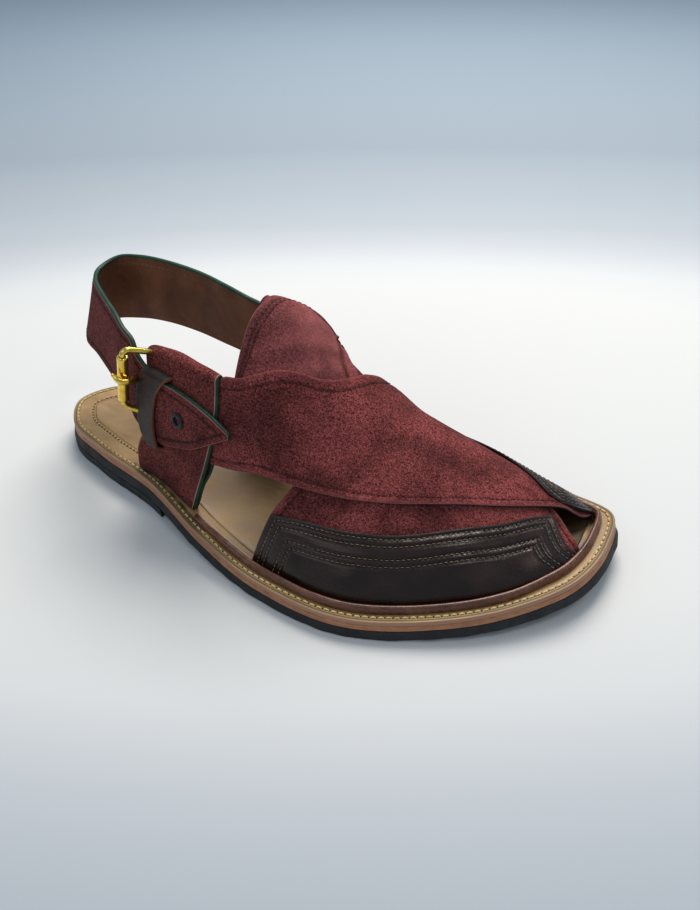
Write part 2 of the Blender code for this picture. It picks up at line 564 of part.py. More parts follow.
def build():
    """Make every piece of the sandal."""
    for item in list(bpy.data.objects):
        bpy.data.objects.remove(item, do_unlink=True)
    parts = bpy.data.collections.new("peshawari_chappal")
    cutters = bpy.data.collections.new("cutters")
    for group in (parts, cutters):
        bpy.context.scene.collection.children.link(group)
    suede = material("suede", (0.16, 0.035, 0.045), 0.9)
    dark = material("dark_leather", (0.02, 0.012, 0.012), 0.35)
    brown = material("brown_leather", (0.12, 0.035, 0.02), 0.5)
    tan = material("tan_leather", (0.36, 0.22, 0.09), 0.6)
    pink = material("midsole_leather", (0.36, 0.17, 0.11), 0.7)
    rubber = material("black_rubber", (0.015, 0.015, 0.018), 0.7)
    brass = material("brass", (0.75, 0.5, 0.12), 0.25, 1.0)
    black = material("black_metal", (0.01, 0.01, 0.012), 0.4, 0.5)

    slab("outsole", (OUTSOLE_EDGE, MIDSOLE_DEPTH + GAP), (0.0, outsole_bottom), rubber, parts)
    slab("heel", (0.0, lambda x: outsole_bottom(x) + GAP), (-0.0, rim_height), rubber, parts,
         last=HEEL_BREAST, steps=24)
    slab("midsole", (WELT_EDGE, WELT_DEPTH + GAP), (MIDSOLE_EDGE, MIDSOLE_DEPTH), pink, parts)
    make_welt(tan, parts)
    slab("insole", (INSOLE_EDGE, -INSOLE_RISE), (INSOLE_EDGE, WELT_DEPTH), tan, parts)
    make_rand(brown, parts)

    under = leather_shell(patch("under_strap", UNDER_STRAP, lambda x, s, v: 0 * x, (34, 11),
                                suede, cutters), WALL)
    under.hide_render = True
    under.display_type = "WIRE"
    upper = leather_shell(patch("upper", OVER_STRAP, over_strap_lift, (42, 11), suede, parts),
                          WALL)
    join = upper.modifiers.new("join", "BOOLEAN")
    join.operation = "UNION"
    join.object = under
    leather_shell(patch("tongue", TONGUE, tongue_lift, (17, 10), suede, parts), WALL)
    leather_shell(patch("lateral_panel", LATERAL_PANEL, lambda x, s, v: WALL + GAP + 0 * x,
                        (24, 9), dark, parts), PANEL_THICK)
    leather_shell(patch("medial_panel", MEDIAL_PANEL, panel_lift, (24, 9), dark, parts),
                  PANEL_THICK)

    make_band("lateral_band", LATERAL, BAND["lateral"], suede, parts)
    make_band("medial_band", MEDIAL, BAND["medial"], suede, parts)
    strap = ribbon("heel_strap", *heel_strap_edges(), STRAP_THICK, suede, parts)
    make_keeper(dark, parts)

    roller_low, roller_high = (Vector(end) for end in ROLLER)
    bar_low, bar_high = (Vector(on_last(x, s, lift)) for x, s, lift in FIXED_BAR)
    frame_path = rounded_loop((roller_low, roller_high, bar_high, bar_low), CORNER)
    rod("buckle_frame", frame_path, ROD_RADIUS, brass, parts, cyclic=True)
    cut(strap, rod("frame_room", frame_path, ROD_RADIUS + GAP, black, cutters, cyclic=True))
    axis = roller_high - roller_low
    bore = ROD_RADIUS + GAP
    reach = axis.length / 2 - CORNER
    turned("buckle_roller", (roller_low + roller_high) / 2, axis,
           ((bore, -reach), (ROLLER_RADIUS, -reach), (ROLLER_RADIUS, reach), (bore, reach)),
           brass, parts)
    prong_path = [Vector(place) for place in PRONG]
    rod("buckle_prong", prong_path, PRONG_RADIUS, brass, parts)
    root = prong_path[0] * 2 - prong_path[1]
    cut(strap, rod("prong_hole", [root] + prong_path[1:3], PRONG_RADIUS + 0.5, black, cutters))

    x, s = EYELET_AT
    centre = on_last(x, s, STRAP_TOP)
    normal = last_normal(x, s)
    turned("eyelet", centre, normal,
           ((EYELET_BORE, -STRAP_THICK), (EYELET_BORE + 0.6, -STRAP_THICK),
            (EYELET_BORE + 0.6, GAP), (EYELET_RADIUS, GAP), (EYELET_RADIUS, GAP + 0.5),
            (EYELET_BORE, GAP + 0.9)), black, parts)
    cut(strap, rod("eyelet_hole", (centre - 3 * normal, centre + 2 * normal), EYELET_BORE + 0.9,
                   black, cutters))


FRONT = boundary(0.0, outsole_bottom)[:, 0].max()
CENTRE = np.array((-(ends(0.0)[0] + FRONT) / 2, -np.mean(
    [BRANCH[LATERAL][:, 1].min(), BRANCH[MEDIAL][:, 1].max()]), 0.0)) * MM
build()
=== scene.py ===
# %% [markdown]
# # Dressing a peshawari chappal
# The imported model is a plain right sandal: its solids have the true sizes and no finish.
# This lesson dresses them: napped straps, painted edges, stitches, brass and rubber.
# Every piece is worked out from the same few sizes as the solids, so nothing has to be fitted.

# %% Load the frame and keep its box
import json
import math
from types import SimpleNamespace

import bpy
import numpy as np
from mathutils import Matrix, Vector

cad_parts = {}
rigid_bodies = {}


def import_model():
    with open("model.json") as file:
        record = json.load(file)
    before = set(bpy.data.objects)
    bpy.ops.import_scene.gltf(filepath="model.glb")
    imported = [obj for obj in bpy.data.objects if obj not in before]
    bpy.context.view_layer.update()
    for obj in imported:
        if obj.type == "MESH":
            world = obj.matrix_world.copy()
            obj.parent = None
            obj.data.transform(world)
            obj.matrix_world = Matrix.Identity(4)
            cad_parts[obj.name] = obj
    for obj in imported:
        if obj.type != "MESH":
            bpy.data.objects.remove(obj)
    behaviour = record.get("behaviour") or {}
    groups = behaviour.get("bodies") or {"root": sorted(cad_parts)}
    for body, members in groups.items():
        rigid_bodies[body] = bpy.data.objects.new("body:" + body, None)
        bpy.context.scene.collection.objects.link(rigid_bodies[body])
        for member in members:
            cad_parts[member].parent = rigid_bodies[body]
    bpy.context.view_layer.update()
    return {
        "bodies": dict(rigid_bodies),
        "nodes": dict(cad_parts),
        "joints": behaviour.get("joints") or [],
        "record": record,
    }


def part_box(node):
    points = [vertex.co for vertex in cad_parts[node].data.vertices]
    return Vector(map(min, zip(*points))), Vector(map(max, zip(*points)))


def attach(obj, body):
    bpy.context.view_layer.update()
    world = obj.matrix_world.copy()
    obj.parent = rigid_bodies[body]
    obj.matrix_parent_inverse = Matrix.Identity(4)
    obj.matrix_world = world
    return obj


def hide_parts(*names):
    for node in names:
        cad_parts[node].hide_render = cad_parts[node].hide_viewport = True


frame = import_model()
MM = 0.001
BODY = "root"
print("solids in the frame:", len(frame["nodes"]))

# %% [markdown]
# ## The sizes that everything shares
# A shoemaker starts from the outline of the sole and from the last, the wooden foot that the straps
# are pulled over. Both are short tables here, in millimetres: x runs from the back of the heel to
# the toe, y from the heel's middle line to the medial side, z up from the floor. The lateral side
# is the outer one, and the medial side is the big toe's.

# %% The sole's outline and heights
LATERAL, MEDIAL = -1, 1
GAP = 0.3                                     # air between layers, in place of glue
OUTLINE = (
    # name, x, y
    ("heel back", -0.5, 4.0), ("heel corner", 11.0, -15.0), ("heel side", 37.0, -26.5),
    ("heel breast", 76.0, -37.5), ("waist", 116.0, -54.5), ("joint rear", 156.0, -66.5),
    ("joint", 194.0, -68.5), ("joint front", 228.0, -56.0), ("little toe", 260.0, -35.0),
    ("toe side", 280.5, -10.5), ("toe tip", 286.5, 15.0), ("big toe", 283.5, 36.5),
    ("big toe side", 266.0, 45.5), ("ball front", 230.0, 48.5), ("ball", 195.0, 47.5),
    ("arch front", 160.0, 39.5), ("arch", 120.0, 29.5), ("arch rear", 75.0, 30.5),
    ("heel inside", 34.0, 32.0), ("heel inner corner", 8.0, 22.0),
)
HEEL_TOP, FOREFOOT_TOP = 16.4, 9.7            # heights of the sole's top face
EASE_FROM, EASE_TO = 70.0, 150.0              # the waist, between those two heights
SPRING_FROM, SPRING_TO, TOE_SPRING = 195.0, 288.0, 9.5
WELT_DEPTH, MIDSOLE_DEPTH = 2.0, 5.0          # undersides, below the top face
HEEL_BREAST = 86.0                            # where the heel block ends
WELT_EDGE, MIDSOLE_EDGE = 1.5, 1.3            # how far an edge lies in from the outline
WELT_IN, INSOLE_EDGE, FEATHER_EDGE = 13.0, 13.3, 12.2
RAND_OUT, RAND_IN, RAND_HEIGHT = 5.6, 8.5, 3.6
RAND_FROM, RAND_TO = 110.0, 131.0             # its ends at the lateral and the medial side
print("points on the sole's outline:", len(OUTLINE))

# %% [markdown]
# The last is a table too, with one row for each station: how high its ridge is, how far its sides
# flare at the sole, and how steep and how full they are above it.

# %% The last, as one row of sizes for each station
LAST = np.array((
    # x, ridge_y, ridge_z, flare_lat, flare_med, lean_lat, lean_med, full_lat, full_med
    (60.0, 0.0, 132.0, 3.1, 2.0, 8.0, -10.0, 0.60, 0.85),
    (95.0, 0.0, 120.0, -0.3, 1.0, 9.0, -10.0, 0.60, 0.85),
    (125.0, 1.0, 104.5, -1.5, 0.5, 11.0, -9.0, 0.55, 0.78),
    (145.0, 8.0, 96.5, 0.0, 0.0, 16.0, -4.0, 0.50, 0.68),
    (157.0, 9.0, 81.5, 0.0, 0.0, 20.0, -1.0, 0.47, 0.60),
    (168.0, 9.0, 71.0, 0.0, 0.0, 22.0, 2.0, 0.45, 0.58),
    (200.0, 9.0, 54.5, 0.0, 0.0, 22.0, 6.0, 0.42, 0.58),
    (230.0, 14.0, 41.0, 0.0, 0.0, 20.0, 8.0, 0.42, 0.55),
    (255.0, 19.0, 27.0, 0.0, 0.0, 20.0, 10.0, 0.45, 0.55),
    (275.0, 23.0, 19.5, 0.0, 0.0, 20.0, 10.0, 0.50, 0.50),
))
print("the last's ridge falls from", LAST[0, 2], "to", LAST[-1, 2], "mm")

# %% [markdown]
# A few numbers become a fair line when a curve runs through them. One cubic curve does it for every
# table here, and two small helpers give a soft step and a soft hill wherever a form has to fade.

# %% Curves through table rows
def smooth(knots, values, at):
    """Cubic curve through the knots, its slopes taken from the neighbouring knots."""
    knots, values, at = (np.asarray(a, float) for a in (knots, values, at))
    slopes = np.gradient(values, knots, axis=0)
    i = np.clip(np.searchsorted(knots, at) - 1, 0, len(knots) - 2)
    step = knots[i + 1] - knots[i]
    t = (at - knots[i]) / step
    if values.ndim > 1:
        step, t = step[..., None], t[..., None]
    rise = 3 * t ** 2 - 2 * t ** 3
    return ((1 - rise) * values[i] + rise * values[i + 1]
            + step * (t * (1 - t) ** 2 * slopes[i] - t ** 2 * (1 - t) * slopes[i + 1]))


def ease(x, start, end):
    """0 before start, 1 after end, and smooth between them."""
    t = np.clip((np.asarray(x, float) - start) / (end - start), 0, 1)
    return t * t * (3 - 2 * t)


def bump_at(x, centre, width):
    """A soft hill of height 1 at centre."""
    return np.exp(-((np.asarray(x, float) - centre) / width) ** 2)


print("a quarter of the way, a soft step has reached", ease(0.25, 0.0, 1.0))

# %% [markdown]
# Each layer of the sole has the same outline, moved in by its own few millimetres. Moving a line in
# by a distance is the same as rolling a coin of that radius along it. For very small distances the
# outline's own points are moved instead, because a small coin would fall between them.

# %% The outline's two sides
def outline_branches(samples=1200):
    """The closed outline, cut at heel and toe into its lateral and medial sides."""
    rows = np.array([row[1:] for row in OUTLINE])
    rows = np.vstack((rows[-3:], rows, rows[:4]))
    run = np.concatenate(([0], np.cumsum(np.linalg.norm(np.diff(rows, axis=0), axis=1))))
    loop = smooth(run, rows, np.linspace(run[3], run[-4], samples))
    heel, toe = loop[:, 0].argmin(), loop[:, 0].argmax()
    if heel > toe:
        heel -= samples
    lateral = np.roll(loop, -heel, axis=0)[:toe - heel + 1]
    medial = np.roll(loop, -toe, axis=0)[:samples - (toe - heel) + 1][::-1]
    return {LATERAL: lateral, MEDIAL: medial}


BRANCH = outline_branches()
HEEL_END, TOE_END = BRANCH[MEDIAL][0, 0], BRANCH[MEDIAL][-1, 0]
print("points on the lateral and medial side:", len(BRANCH[LATERAL]), len(BRANCH[MEDIAL]))

# %% The edge at any distance in from the outline
FINE_INSET = 1.0                 # below this the outline's own points are moved
LEAST_WIDTH = 1.5                # where the sole is narrower, a layer ends
END_MARGIN = 0.02                # the search for a layer's ends starts this far inside
LENGTH_STEPS, END_STEPS = 5800, 600
EDGE_POINTS = 900
EDGES = {}


def unit(vectors):
    """Vectors of length 1."""
    return vectors / np.maximum(np.linalg.norm(vectors, axis=-1, keepdims=True), 1e-9)


def edge_exact(x, inset, side):
    """y of one side of the sole at station x, moved in from the outline by inset."""
    px, py = BRANCH[side].T
    if inset < FINE_INSET:
        along = unit(np.gradient(BRANCH[side], axis=0))
        px, py = (BRANCH[side] + side * inset * np.array((along[:, 1], -along[:, 0])).T).T
        return np.interp(x, px, py)
    away = np.asarray(x, float)[:, None] - px
    reach = np.sqrt(np.clip(inset ** 2 - away ** 2, 0, None))
    return -side * np.where(abs(away) <= inset, -side * py + reach, -np.inf).max(axis=1)


def ends(inset):
    """First and last station that the outline has when it is moved in by inset."""
    step = (TOE_END - HEEL_END - 2 * inset - 2 * END_MARGIN) / LENGTH_STEPS
    found = []
    for edge, way in ((HEEL_END + inset + END_MARGIN, 1), (TOE_END - inset - END_MARGIN, -1)):
        x = edge + way * step * np.arange(END_STEPS)
        wide = edge_exact(x, inset, MEDIAL) - edge_exact(x, inset, LATERAL) > LEAST_WIDTH
        found.append(x[wide.argmax()])
    return tuple(found)


def edge_y(x, inset, side):
    """The same as edge_exact, from a table that is kept for each inset."""
    if (inset, side) not in EDGES:
        stations = np.linspace(*ends(inset), EDGE_POINTS)
        EDGES[inset, side] = stations, edge_exact(stations, inset, side)
    return np.interp(x, *EDGES[inset, side])


print("sole from", round(ends(0.0)[0], 1), "to", round(ends(0.0)[1], 1), "mm")

# %% Heights of the sole
def rim_height(x):
    """Height of the sole's top face."""
    spring = np.clip((np.asarray(x, float) - SPRING_FROM) / (SPRING_TO - SPRING_FROM), 0, None)
    slope_down = HEEL_TOP + (FOREFOOT_TOP - HEEL_TOP) * ease(x, EASE_FROM, EASE_TO)
    return slope_down + TOE_SPRING * spring ** 2


def rim_slope(x):
    """Slope of the toe spring, by which the layers' edges lean forward."""
    spring = np.clip((np.asarray(x, float) - SPRING_FROM) / (SPRING_TO - SPRING_FROM), 0, None)
    return 2 * TOE_SPRING * spring / (SPRING_TO - SPRING_FROM)


def sole_points(x, y, depth):
    """Points on the sole at a depth below its top face."""
    x, y = np.asarray(x, float), np.asarray(y, float)
    return np.stack((x + depth * rim_slope(x), y, rim_height(x) - depth), axis=-1)


print("top face at heel, waist and toe:", rim_height((0.0, 110.0, 286.0)).round(1))

# %% [markdown]
# A place on the upper is easiest to give the way a shoemaker marks it: how far along the shoe (x),
# how far round it (s, from -1 at the lateral foot over 0 on the ridge to 1 at the medial foot) and
# how many layers up (a lift in mm, square to the surface).

# %% Any point over the last
def last_point(x, s):
    """Point on the last itself, under all layers."""
    x, s = np.broadcast_arrays(np.asarray(x, float), np.asarray(s, float))
    row = smooth(LAST[:, 0], LAST[:, 1:], x)
    ridge = np.stack((row[..., 0], row[..., 1]), axis=-1)
    foot_z = rim_height(x) + GAP
    u = (1 - abs(s))[..., None]
    section = np.zeros(x.shape + (2,))
    for side, flare, lean, full in ((LATERAL, 2, 4, 6), (MEDIAL, 3, 5, 7)):
        foot_y = edge_y(x, FEATHER_EDGE, side) + side * row[..., flare]
        wall = row[..., full] * (ridge[..., 1] - foot_z)
        foot = np.stack((foot_y, foot_z), axis=-1)
        above = np.stack((foot_y - side * wall * np.tan(np.radians(row[..., lean])),
                          foot_z + wall), axis=-1)
        beside = ridge + np.stack((row[..., full] * (foot_y - ridge[..., 0]),
                                   np.zeros(x.shape)), axis=-1)
        curve = ((1 - u) ** 3 * foot + 3 * u * (1 - u) ** 2 * above
                 + 3 * u ** 2 * (1 - u) * beside + u ** 3 * ridge)
        here = (s * side > 0) | ((s == 0) & (side > 0))
        section = np.where(here[..., None], curve, section)
    return np.concatenate((x[..., None], section), axis=-1)


def last_normal(x, s):
    """Outward normal of the last."""
    along = last_point(x + 0.2, s) - last_point(x - 0.2, s)
    across = last_point(x, s + 0.01) - last_point(x, s - 0.01)
    normal = np.cross(along, across)
    return normal / np.linalg.norm(normal, axis=-1, keepdims=True)


def on_last(x, s, lift):
    """Point at a height above the last."""
    x, s, lift = np.broadcast_arrays(*(np.asarray(a, float) for a in (x, s, lift)))
    return last_point(x, s) + lift[..., None] * last_normal(x, s)


print("the ridge over the instep is at", last_point(145.0, 0.0).round(1), "mm")

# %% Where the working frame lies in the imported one
SOLE_LOW = np.array(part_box("heel")[0]) / MM
MIDDLE_Y = np.mean((BRANCH[LATERAL][:, 1].min(), BRANCH[MEDIAL][:, 1].max()))
SHIFT = np.array((SOLE_LOW[0] - ends(0.0)[0], -MIDDLE_Y, 0.0))
print("shift to the packed frame, mm:", SHIFT.round(2))

# %% [markdown]
# ## Turning numbers into Blender meshes
# Each piece is a closed skin made from points and faces. A sheet of leather is the commonest one:
# a fine grid for its face, the same grid below for its back, and a few narrow strips round the rim
# so that the cut edge is rounded and can have a colour of its own, as painted edges have.

# %% A mesh object from points in working millimetres
PIECES = []


def new_piece(name, points, faces, finishes, stands_for=(), face_finish=None, crease=50):
    """Make a piece that rides on the shoe's one body; finishes are its materials."""
    mesh = bpy.data.meshes.new(name)
    places = (np.asarray(points, float).reshape(-1, 3) + SHIFT) * MM
    mesh.from_pydata(places.tolist(), [], [tuple(int(i) for i in face) for face in faces])
    for finish in finishes:
        mesh.materials.append(finish)
    if face_finish is not None:
        mesh.polygons.foreach_set("material_index", np.asarray(face_finish, dtype=np.int32))
    mesh.update()
    mesh.shade_smooth()
    mesh.set_sharp_from_angle(angle=math.radians(crease))
    item = bpy.data.objects.new(name, mesh)
    bpy.context.scene.collection.objects.link(item)
    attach(item, BODY)
    if stands_for:
        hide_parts(*stands_for)
    PIECES.append(item)
    print(name, "faces:", len(mesh.polygons))
    return item


def mark(item, name, values):
    """Store one number for each vertex, for the materials to read."""
    values = np.asarray(values, dtype=np.float32).ravel()
    item.data.attributes.new(name, "FLOAT", "POINT").data.foreach_set("value", values)


def run_along(points):
    """Distance from the first point, along the last axis but one."""
    steps = np.linalg.norm(np.diff(points, axis=-2), axis=-1)
    return np.concatenate((np.zeros(steps.shape[:-1] + (1,)), np.cumsum(steps, axis=-1)), axis=-1)


print("every piece will ride on:", BODY)

# %% [markdown]
# A cut through leather is never sharp: the knife's edge wears round within days. So the rim of a
# sheet is a short fan of strips that swells outward, and its strips can take the colour of raw
# hide or of edge paint, while the strip next to the face takes a third colour, the pale cut line.

# %% A leather sheet with a rounded rim
# how far out (a share of the swell) and how high (a share of the thickness) the rim's rings lie
ROUND_RIM = ((0.0, 1.0), (0.24, 0.975), (0.6, 0.9), (0.9, 0.72), (1.0, 0.5), (0.9, 0.25),
             (0.55, 0.07), (0.0, 0.0))


def grid_normals(grid):
    """Unit normals of a grid, in the direction of rows cross columns."""
    return unit(np.cross(np.gradient(grid, axis=0), np.gradient(grid, axis=1)))


def border(rows, columns):
    """Indices of a grid's border, once round, and the side (0 to 3) that each step lies on."""
    first = [(i, 0) for i in range(rows - 1)] + [(rows - 1, j) for j in range(columns - 1)]
    second = ([(i, columns - 1) for i in range(rows - 1, 0, -1)]
              + [(0, j) for j in range(columns - 1, 0, -1)])
    sides = np.repeat((0, 1, 2, 3), (rows - 1, columns - 1, rows - 1, columns - 1))
    return np.array(first + second), sides


def leather(name, face, back, finishes, slot, stands_for=(), rims=(2, 2, 2, 2), lip=3, rim=0.35,
            lip_strips=1):
    """A sheet from its face grid and its back grid. Finishes: 0 the face, 1 the back, then rims.

    rims gives the finish of the four rims, and lip that of the strip next to the face.
    """
    rows, columns = face.shape[:2]
    normals = grid_normals(face)
    at, sides = border(rows, columns)
    swell = np.broadcast_to(rim, 4)[sides]
    swell = sum(np.roll(swell, k) for k in (-1, 0, 1))[:, None] / 3
    edge, under = face[at[:, 0], at[:, 1]], back[at[:, 0], at[:, 1]]
    ahead = np.roll(edge, -1, axis=0) - np.roll(edge, 1, axis=0)
    out = unit(np.cross(ahead, normals[at[:, 0], at[:, 1]]))
    rings = [under + (edge - under) * height + out * swell * reach
             for reach, height in ROUND_RIM[1:-1]]
    points = np.vstack([face.reshape(-1, 3), back.reshape(-1, 3)] + rings)
    size, count = rows * columns, len(at)
    faces, finish = [], []
    for i in range(rows - 1):
        for j in range(columns - 1):
            a, b = i * columns + j, (i + 1) * columns + j
            faces.append((a, b, b + 1, a + 1))
            faces.append((size + a, size + a + 1, size + b + 1, size + b))
            finish += [0, 1]
    top = at[:, 0] * columns + at[:, 1]
    loops = [top] + [2 * size + k * count + np.arange(count) for k in range(len(rings))]
    loops.append(top + size)
    for k in range(len(loops) - 1):
        for b in range(count):
            c = (b + 1) % count
            faces.append((loops[k][b], loops[k + 1][b], loops[k + 1][c], loops[k][c]))
            rim_finish = rims[sides[b]]
            finish.append(lip if k < lip_strips and rim_finish > 1 else rim_finish)
    return new_piece(name, points, faces, finishes, stands_for, finish)


print("strips round a rim:", len(ROUND_RIM) - 1)

# %% [markdown]
# Stitches need a path that lies exactly on the finished leather. A sheet is a grid, so any place on
# it can be read between four grid points, and a distance from the edge becomes a column.

# %% Sampling a sheet
def at_grid(grid, i, j):
    """Values of a grid at fractional row i and column j."""
    i = np.clip(i, 0, grid.shape[0] - 1.001)
    j = np.clip(j, 0, grid.shape[1] - 1.001)
    a, b = i.astype(int), j.astype(int)
    p, q = (i - a)[..., None], (j - b)[..., None]
    return ((1 - p) * (1 - q) * grid[a, b] + p * (1 - q) * grid[a + 1, b]
            + (1 - p) * q * grid[a, b + 1] + p * q * grid[a + 1, b + 1])


def column_at(grid, rows, distance, from_end=False):
    """Fractional columns at a distance in mm from the first edge, or from the last one."""
    runs = run_along(grid)
    result = []
    for row, away in zip(rows, np.broadcast_to(distance, rows.shape)):
        run = (1 - row % 1) * runs[int(row)] + row % 1 * runs[min(int(row) + 1, len(runs) - 1)]
        place = run[-1] - away if from_end else away
        result.append(np.interp(place, run, np.arange(len(run))))
    return np.array(result)


print("middle of a small grid:", at_grid(np.eye(2)[..., None], np.array(0.5), np.array(0.5)))

# %% [markdown]
# A stitch is a short thread that dives into the leather at both ends, so it is modelled as a small
# arched, tapered rod. Real seams are never quite straight: each stitch is set off by a hair.

# %% One small arched thread, copied along a seam
def stitches(name, seams, finish, pitch, length, width, rise, sides=6, steps=5, tall=0.84,
             first=0.5):
    """One mesh of threads along seams; a seam is a path in mm and its normals."""
    points, faces = [], []
    t = np.linspace(-1, 1, steps)
    turn = np.linspace(0, 2 * math.pi, sides, endpoint=False)
    thin = np.sqrt(np.clip(1 - 0.75 * t ** 2, 0, 1))
    for path, normals in seams:
        run = run_along(path)
        places = np.arange(pitch * first, run[-1] - pitch / 3, pitch)
        for k, place in enumerate(places):
            wobble = 0.06 * math.sin(2.3 * k) + 0.04 * math.sin(5.1 * k)
            ends_at = np.array([[np.interp(place + d, run, path[:, axis]) for axis in range(3)]
                                for d in (-length / 2, length / 2)])
            normal = unit(np.array([np.interp(place, run, normals[:, axis])
                                    for axis in range(3)]))
            along = unit(ends_at[1] - ends_at[0])
            side = np.cross(normal, along)
            centre = ((ends_at[0] + ends_at[1]) / 2 + side * wobble
                      + along * t[:, None] * length / 2
                      + normal * (rise * (1 - t ** 2) - 0.45 * rise * t ** 4)[:, None])
            ring = (side[None, None] * np.cos(turn)[None, :, None] * width / 2
                    + normal[None, None] * np.sin(turn)[None, :, None] * width / 2 * tall)
            body = centre[:, None] + ring * thin[:, None, None]
            base = len(points) * steps * sides
            points.append(body.reshape(-1, 3))
            for a in range(steps - 1):
                for b in range(sides):
                    c = (b + 1) % sides
                    faces.append((base + a * sides + b, base + a * sides + c,
                                  base + (a + 1) * sides + c, base + (a + 1) * sides + b))
            faces.append(tuple(base + b for b in range(sides))[::-1])
            faces.append(tuple(base + (steps - 1) * sides + b for b in range(sides)))
    new_piece(name, np.vstack(points), faces, [finish], crease=80)
    print(name, "stitches:", len(points))


print("pieces so far:", len(PIECES))

# %% How near a seam is
SEAM_REACH = 4.0                 # further away than this, a seam leaves no trace
AT_ONCE = 4000                   # points measured in one go, to spare memory


def seam_distance(grid, seams):
    """Distance in mm from each grid point to the nearest seam, up to SEAM_REACH."""
    knots = np.vstack([path for path, _ in seams])
    flat = grid.reshape(-1, 3)
    away = np.full(len(flat), SEAM_REACH)
    for part in range(0, len(flat), AT_ONCE):
        some = flat[part:part + AT_ONCE]
        gaps = np.linalg.norm(some[:, None] - knots[None], axis=-1).min(axis=1)
        away[part:part + AT_ONCE] = np.minimum(gaps, SEAM_REACH)
    return away.reshape(grid.shape[:2])


def seam_on(grid, seam):
    """A seam's points and normals on a grid."""
    rows, columns = seam
    return at_grid(grid, rows, columns), unit(at_grid(grid_normals(grid), rows, columns))


print("a seam is felt up to", SEAM_REACH, "mm away")

# %% [markdown]
# Handwork is never flat or even. A sum of seven slow waves in seeded directions gives every sheet
# and every cut edge its own quiet unevenness, the same at each run.

# %% Soft unevenness
WAVES = 7


def ripple(points, size, seed):
    """Soft, even unevenness between about -1 and 1, with hills of about the given size in mm."""
    chance = np.random.default_rng(seed)
    total = 0
    for _ in range(WAVES):
        heading = unit(chance.normal(size=3))
        pace = 2 * math.pi / (size * chance.uniform(0.7, 1.9))
        total = total + np.sin(np.asarray(points) @ heading * pace + chance.uniform(0, 6.3))
    return total / 4


print("waves in each unevenness:", WAVES)

# %% [markdown]
# ## Finishes
# A finish is a small tree of nodes. All of them read the place on the object in millimetres, so a
# number such as 0.7 is the real size of a tuft of nap. Seams and rims store their own distances on
# the mesh, and the finishes use those for wear, glue, pressed grooves and painted shade.

# %% Starting a finish and adding nodes
def start_finish(name, roughness):
    """A new material, its tree and its shader."""
    made = bpy.data.materials.new(name)
    made.use_nodes = True
    shader = made.node_tree.nodes["Principled BSDF"]
    shader.inputs["Roughness"].default_value = roughness
    print("finish:", name)
    return made, made.node_tree, shader


def node(tree, kind, sockets=None, output=0, **settings):
    """Add a node, fill its sockets with numbers, colours or links, and give one output."""
    made = tree.nodes.new("ShaderNode" + kind)
    for setting, value in settings.items():
        setattr(made, setting, value)
    for socket, value in (sockets or {}).items():
        if isinstance(value, bpy.types.NodeSocket):
            tree.links.new(value, made.inputs[socket])
        else:
            made.inputs[socket].default_value = value
    return made.outputs[output]


print("node helpers are ready; materials in the file:", len(bpy.data.materials))

# %% Places, noise and sums
def millimetres(tree, stretch=(1, 1, 1)):
    """The place on the object in millimetres, or stretched along an axis."""
    place = node(tree, "TexCoord", output=3)
    return node(tree, "Mapping", {"Vector": place, "Scale": [1000 * share for share in stretch]})


def grain(tree, place, size, detail, rough=0.55, twist=0.0):
    """Noise with features of a size in mm."""
    return node(tree, "TexNoise", {"Vector": place, "Scale": 1 / size, "Detail": detail,
                                   "Roughness": rough, "Distortion": twist})


def stored(tree, name):
    """A number stored on the mesh."""
    return node(tree, "Attribute", output=2, attribute_name=name)


def sums(tree, operation, first, second, third=0.0):
    """One sum of two or three numbers."""
    return node(tree, "Math", {0: first, 1: second, 2: third}, operation=operation)


def spread(tree, value, low, high, to_low=0.0, to_high=1.0):
    """Move a number from one range to another, smoothly and without passing its ends."""
    return node(tree, "MapRange", {"Value": value, "From Min": low, "From Max": high,
                                   "To Min": to_low, "To Max": to_high},
                interpolation_type="SMOOTHSTEP")


print("noise features of 5 mm need a scale of", 1 / 5)

# %% Colours and the link to the shader
def colours(tree, value, *stops):
    """Colours along a number: each stop is (position, (r, g, b))."""
    made = tree.nodes.new("ShaderNodeValToRGB")
    ramp = made.color_ramp
    while len(ramp.elements) < len(stops):
        ramp.elements.new(0.5)
    for element, (position, colour) in zip(ramp.elements, stops):
        element.position = position
        element.color = (*colour, 1.0)
    tree.links.new(value, made.inputs[0])
    return made.outputs[0]


def blend(tree, share, first, second, mode="MIX"):
    """Mix two colours by a share."""
    first, second = ((*c, 1.0) if isinstance(c, tuple) else c for c in (first, second))
    return node(tree, "MixRGB", {0: share, 1: first, 2: second}, blend_type=mode)


def finish_with(tree, shader, colour, height, depth, roughness=None):
    """Link a colour, a relief that is depth mm deep, and a roughness if it varies."""
    tree.links.new(colour, shader.inputs["Base Color"])
    if roughness is not None:
        tree.links.new(roughness, shader.inputs["Roughness"])
    relief = node(tree, "Bump", {"Height": height, "Distance": depth * MM, "Strength": 1.0})
    tree.links.new(relief, shader.inputs["Normal"])


print("a bump one unit high and 0.3 deep is", 0.3 * MM, "m deep")
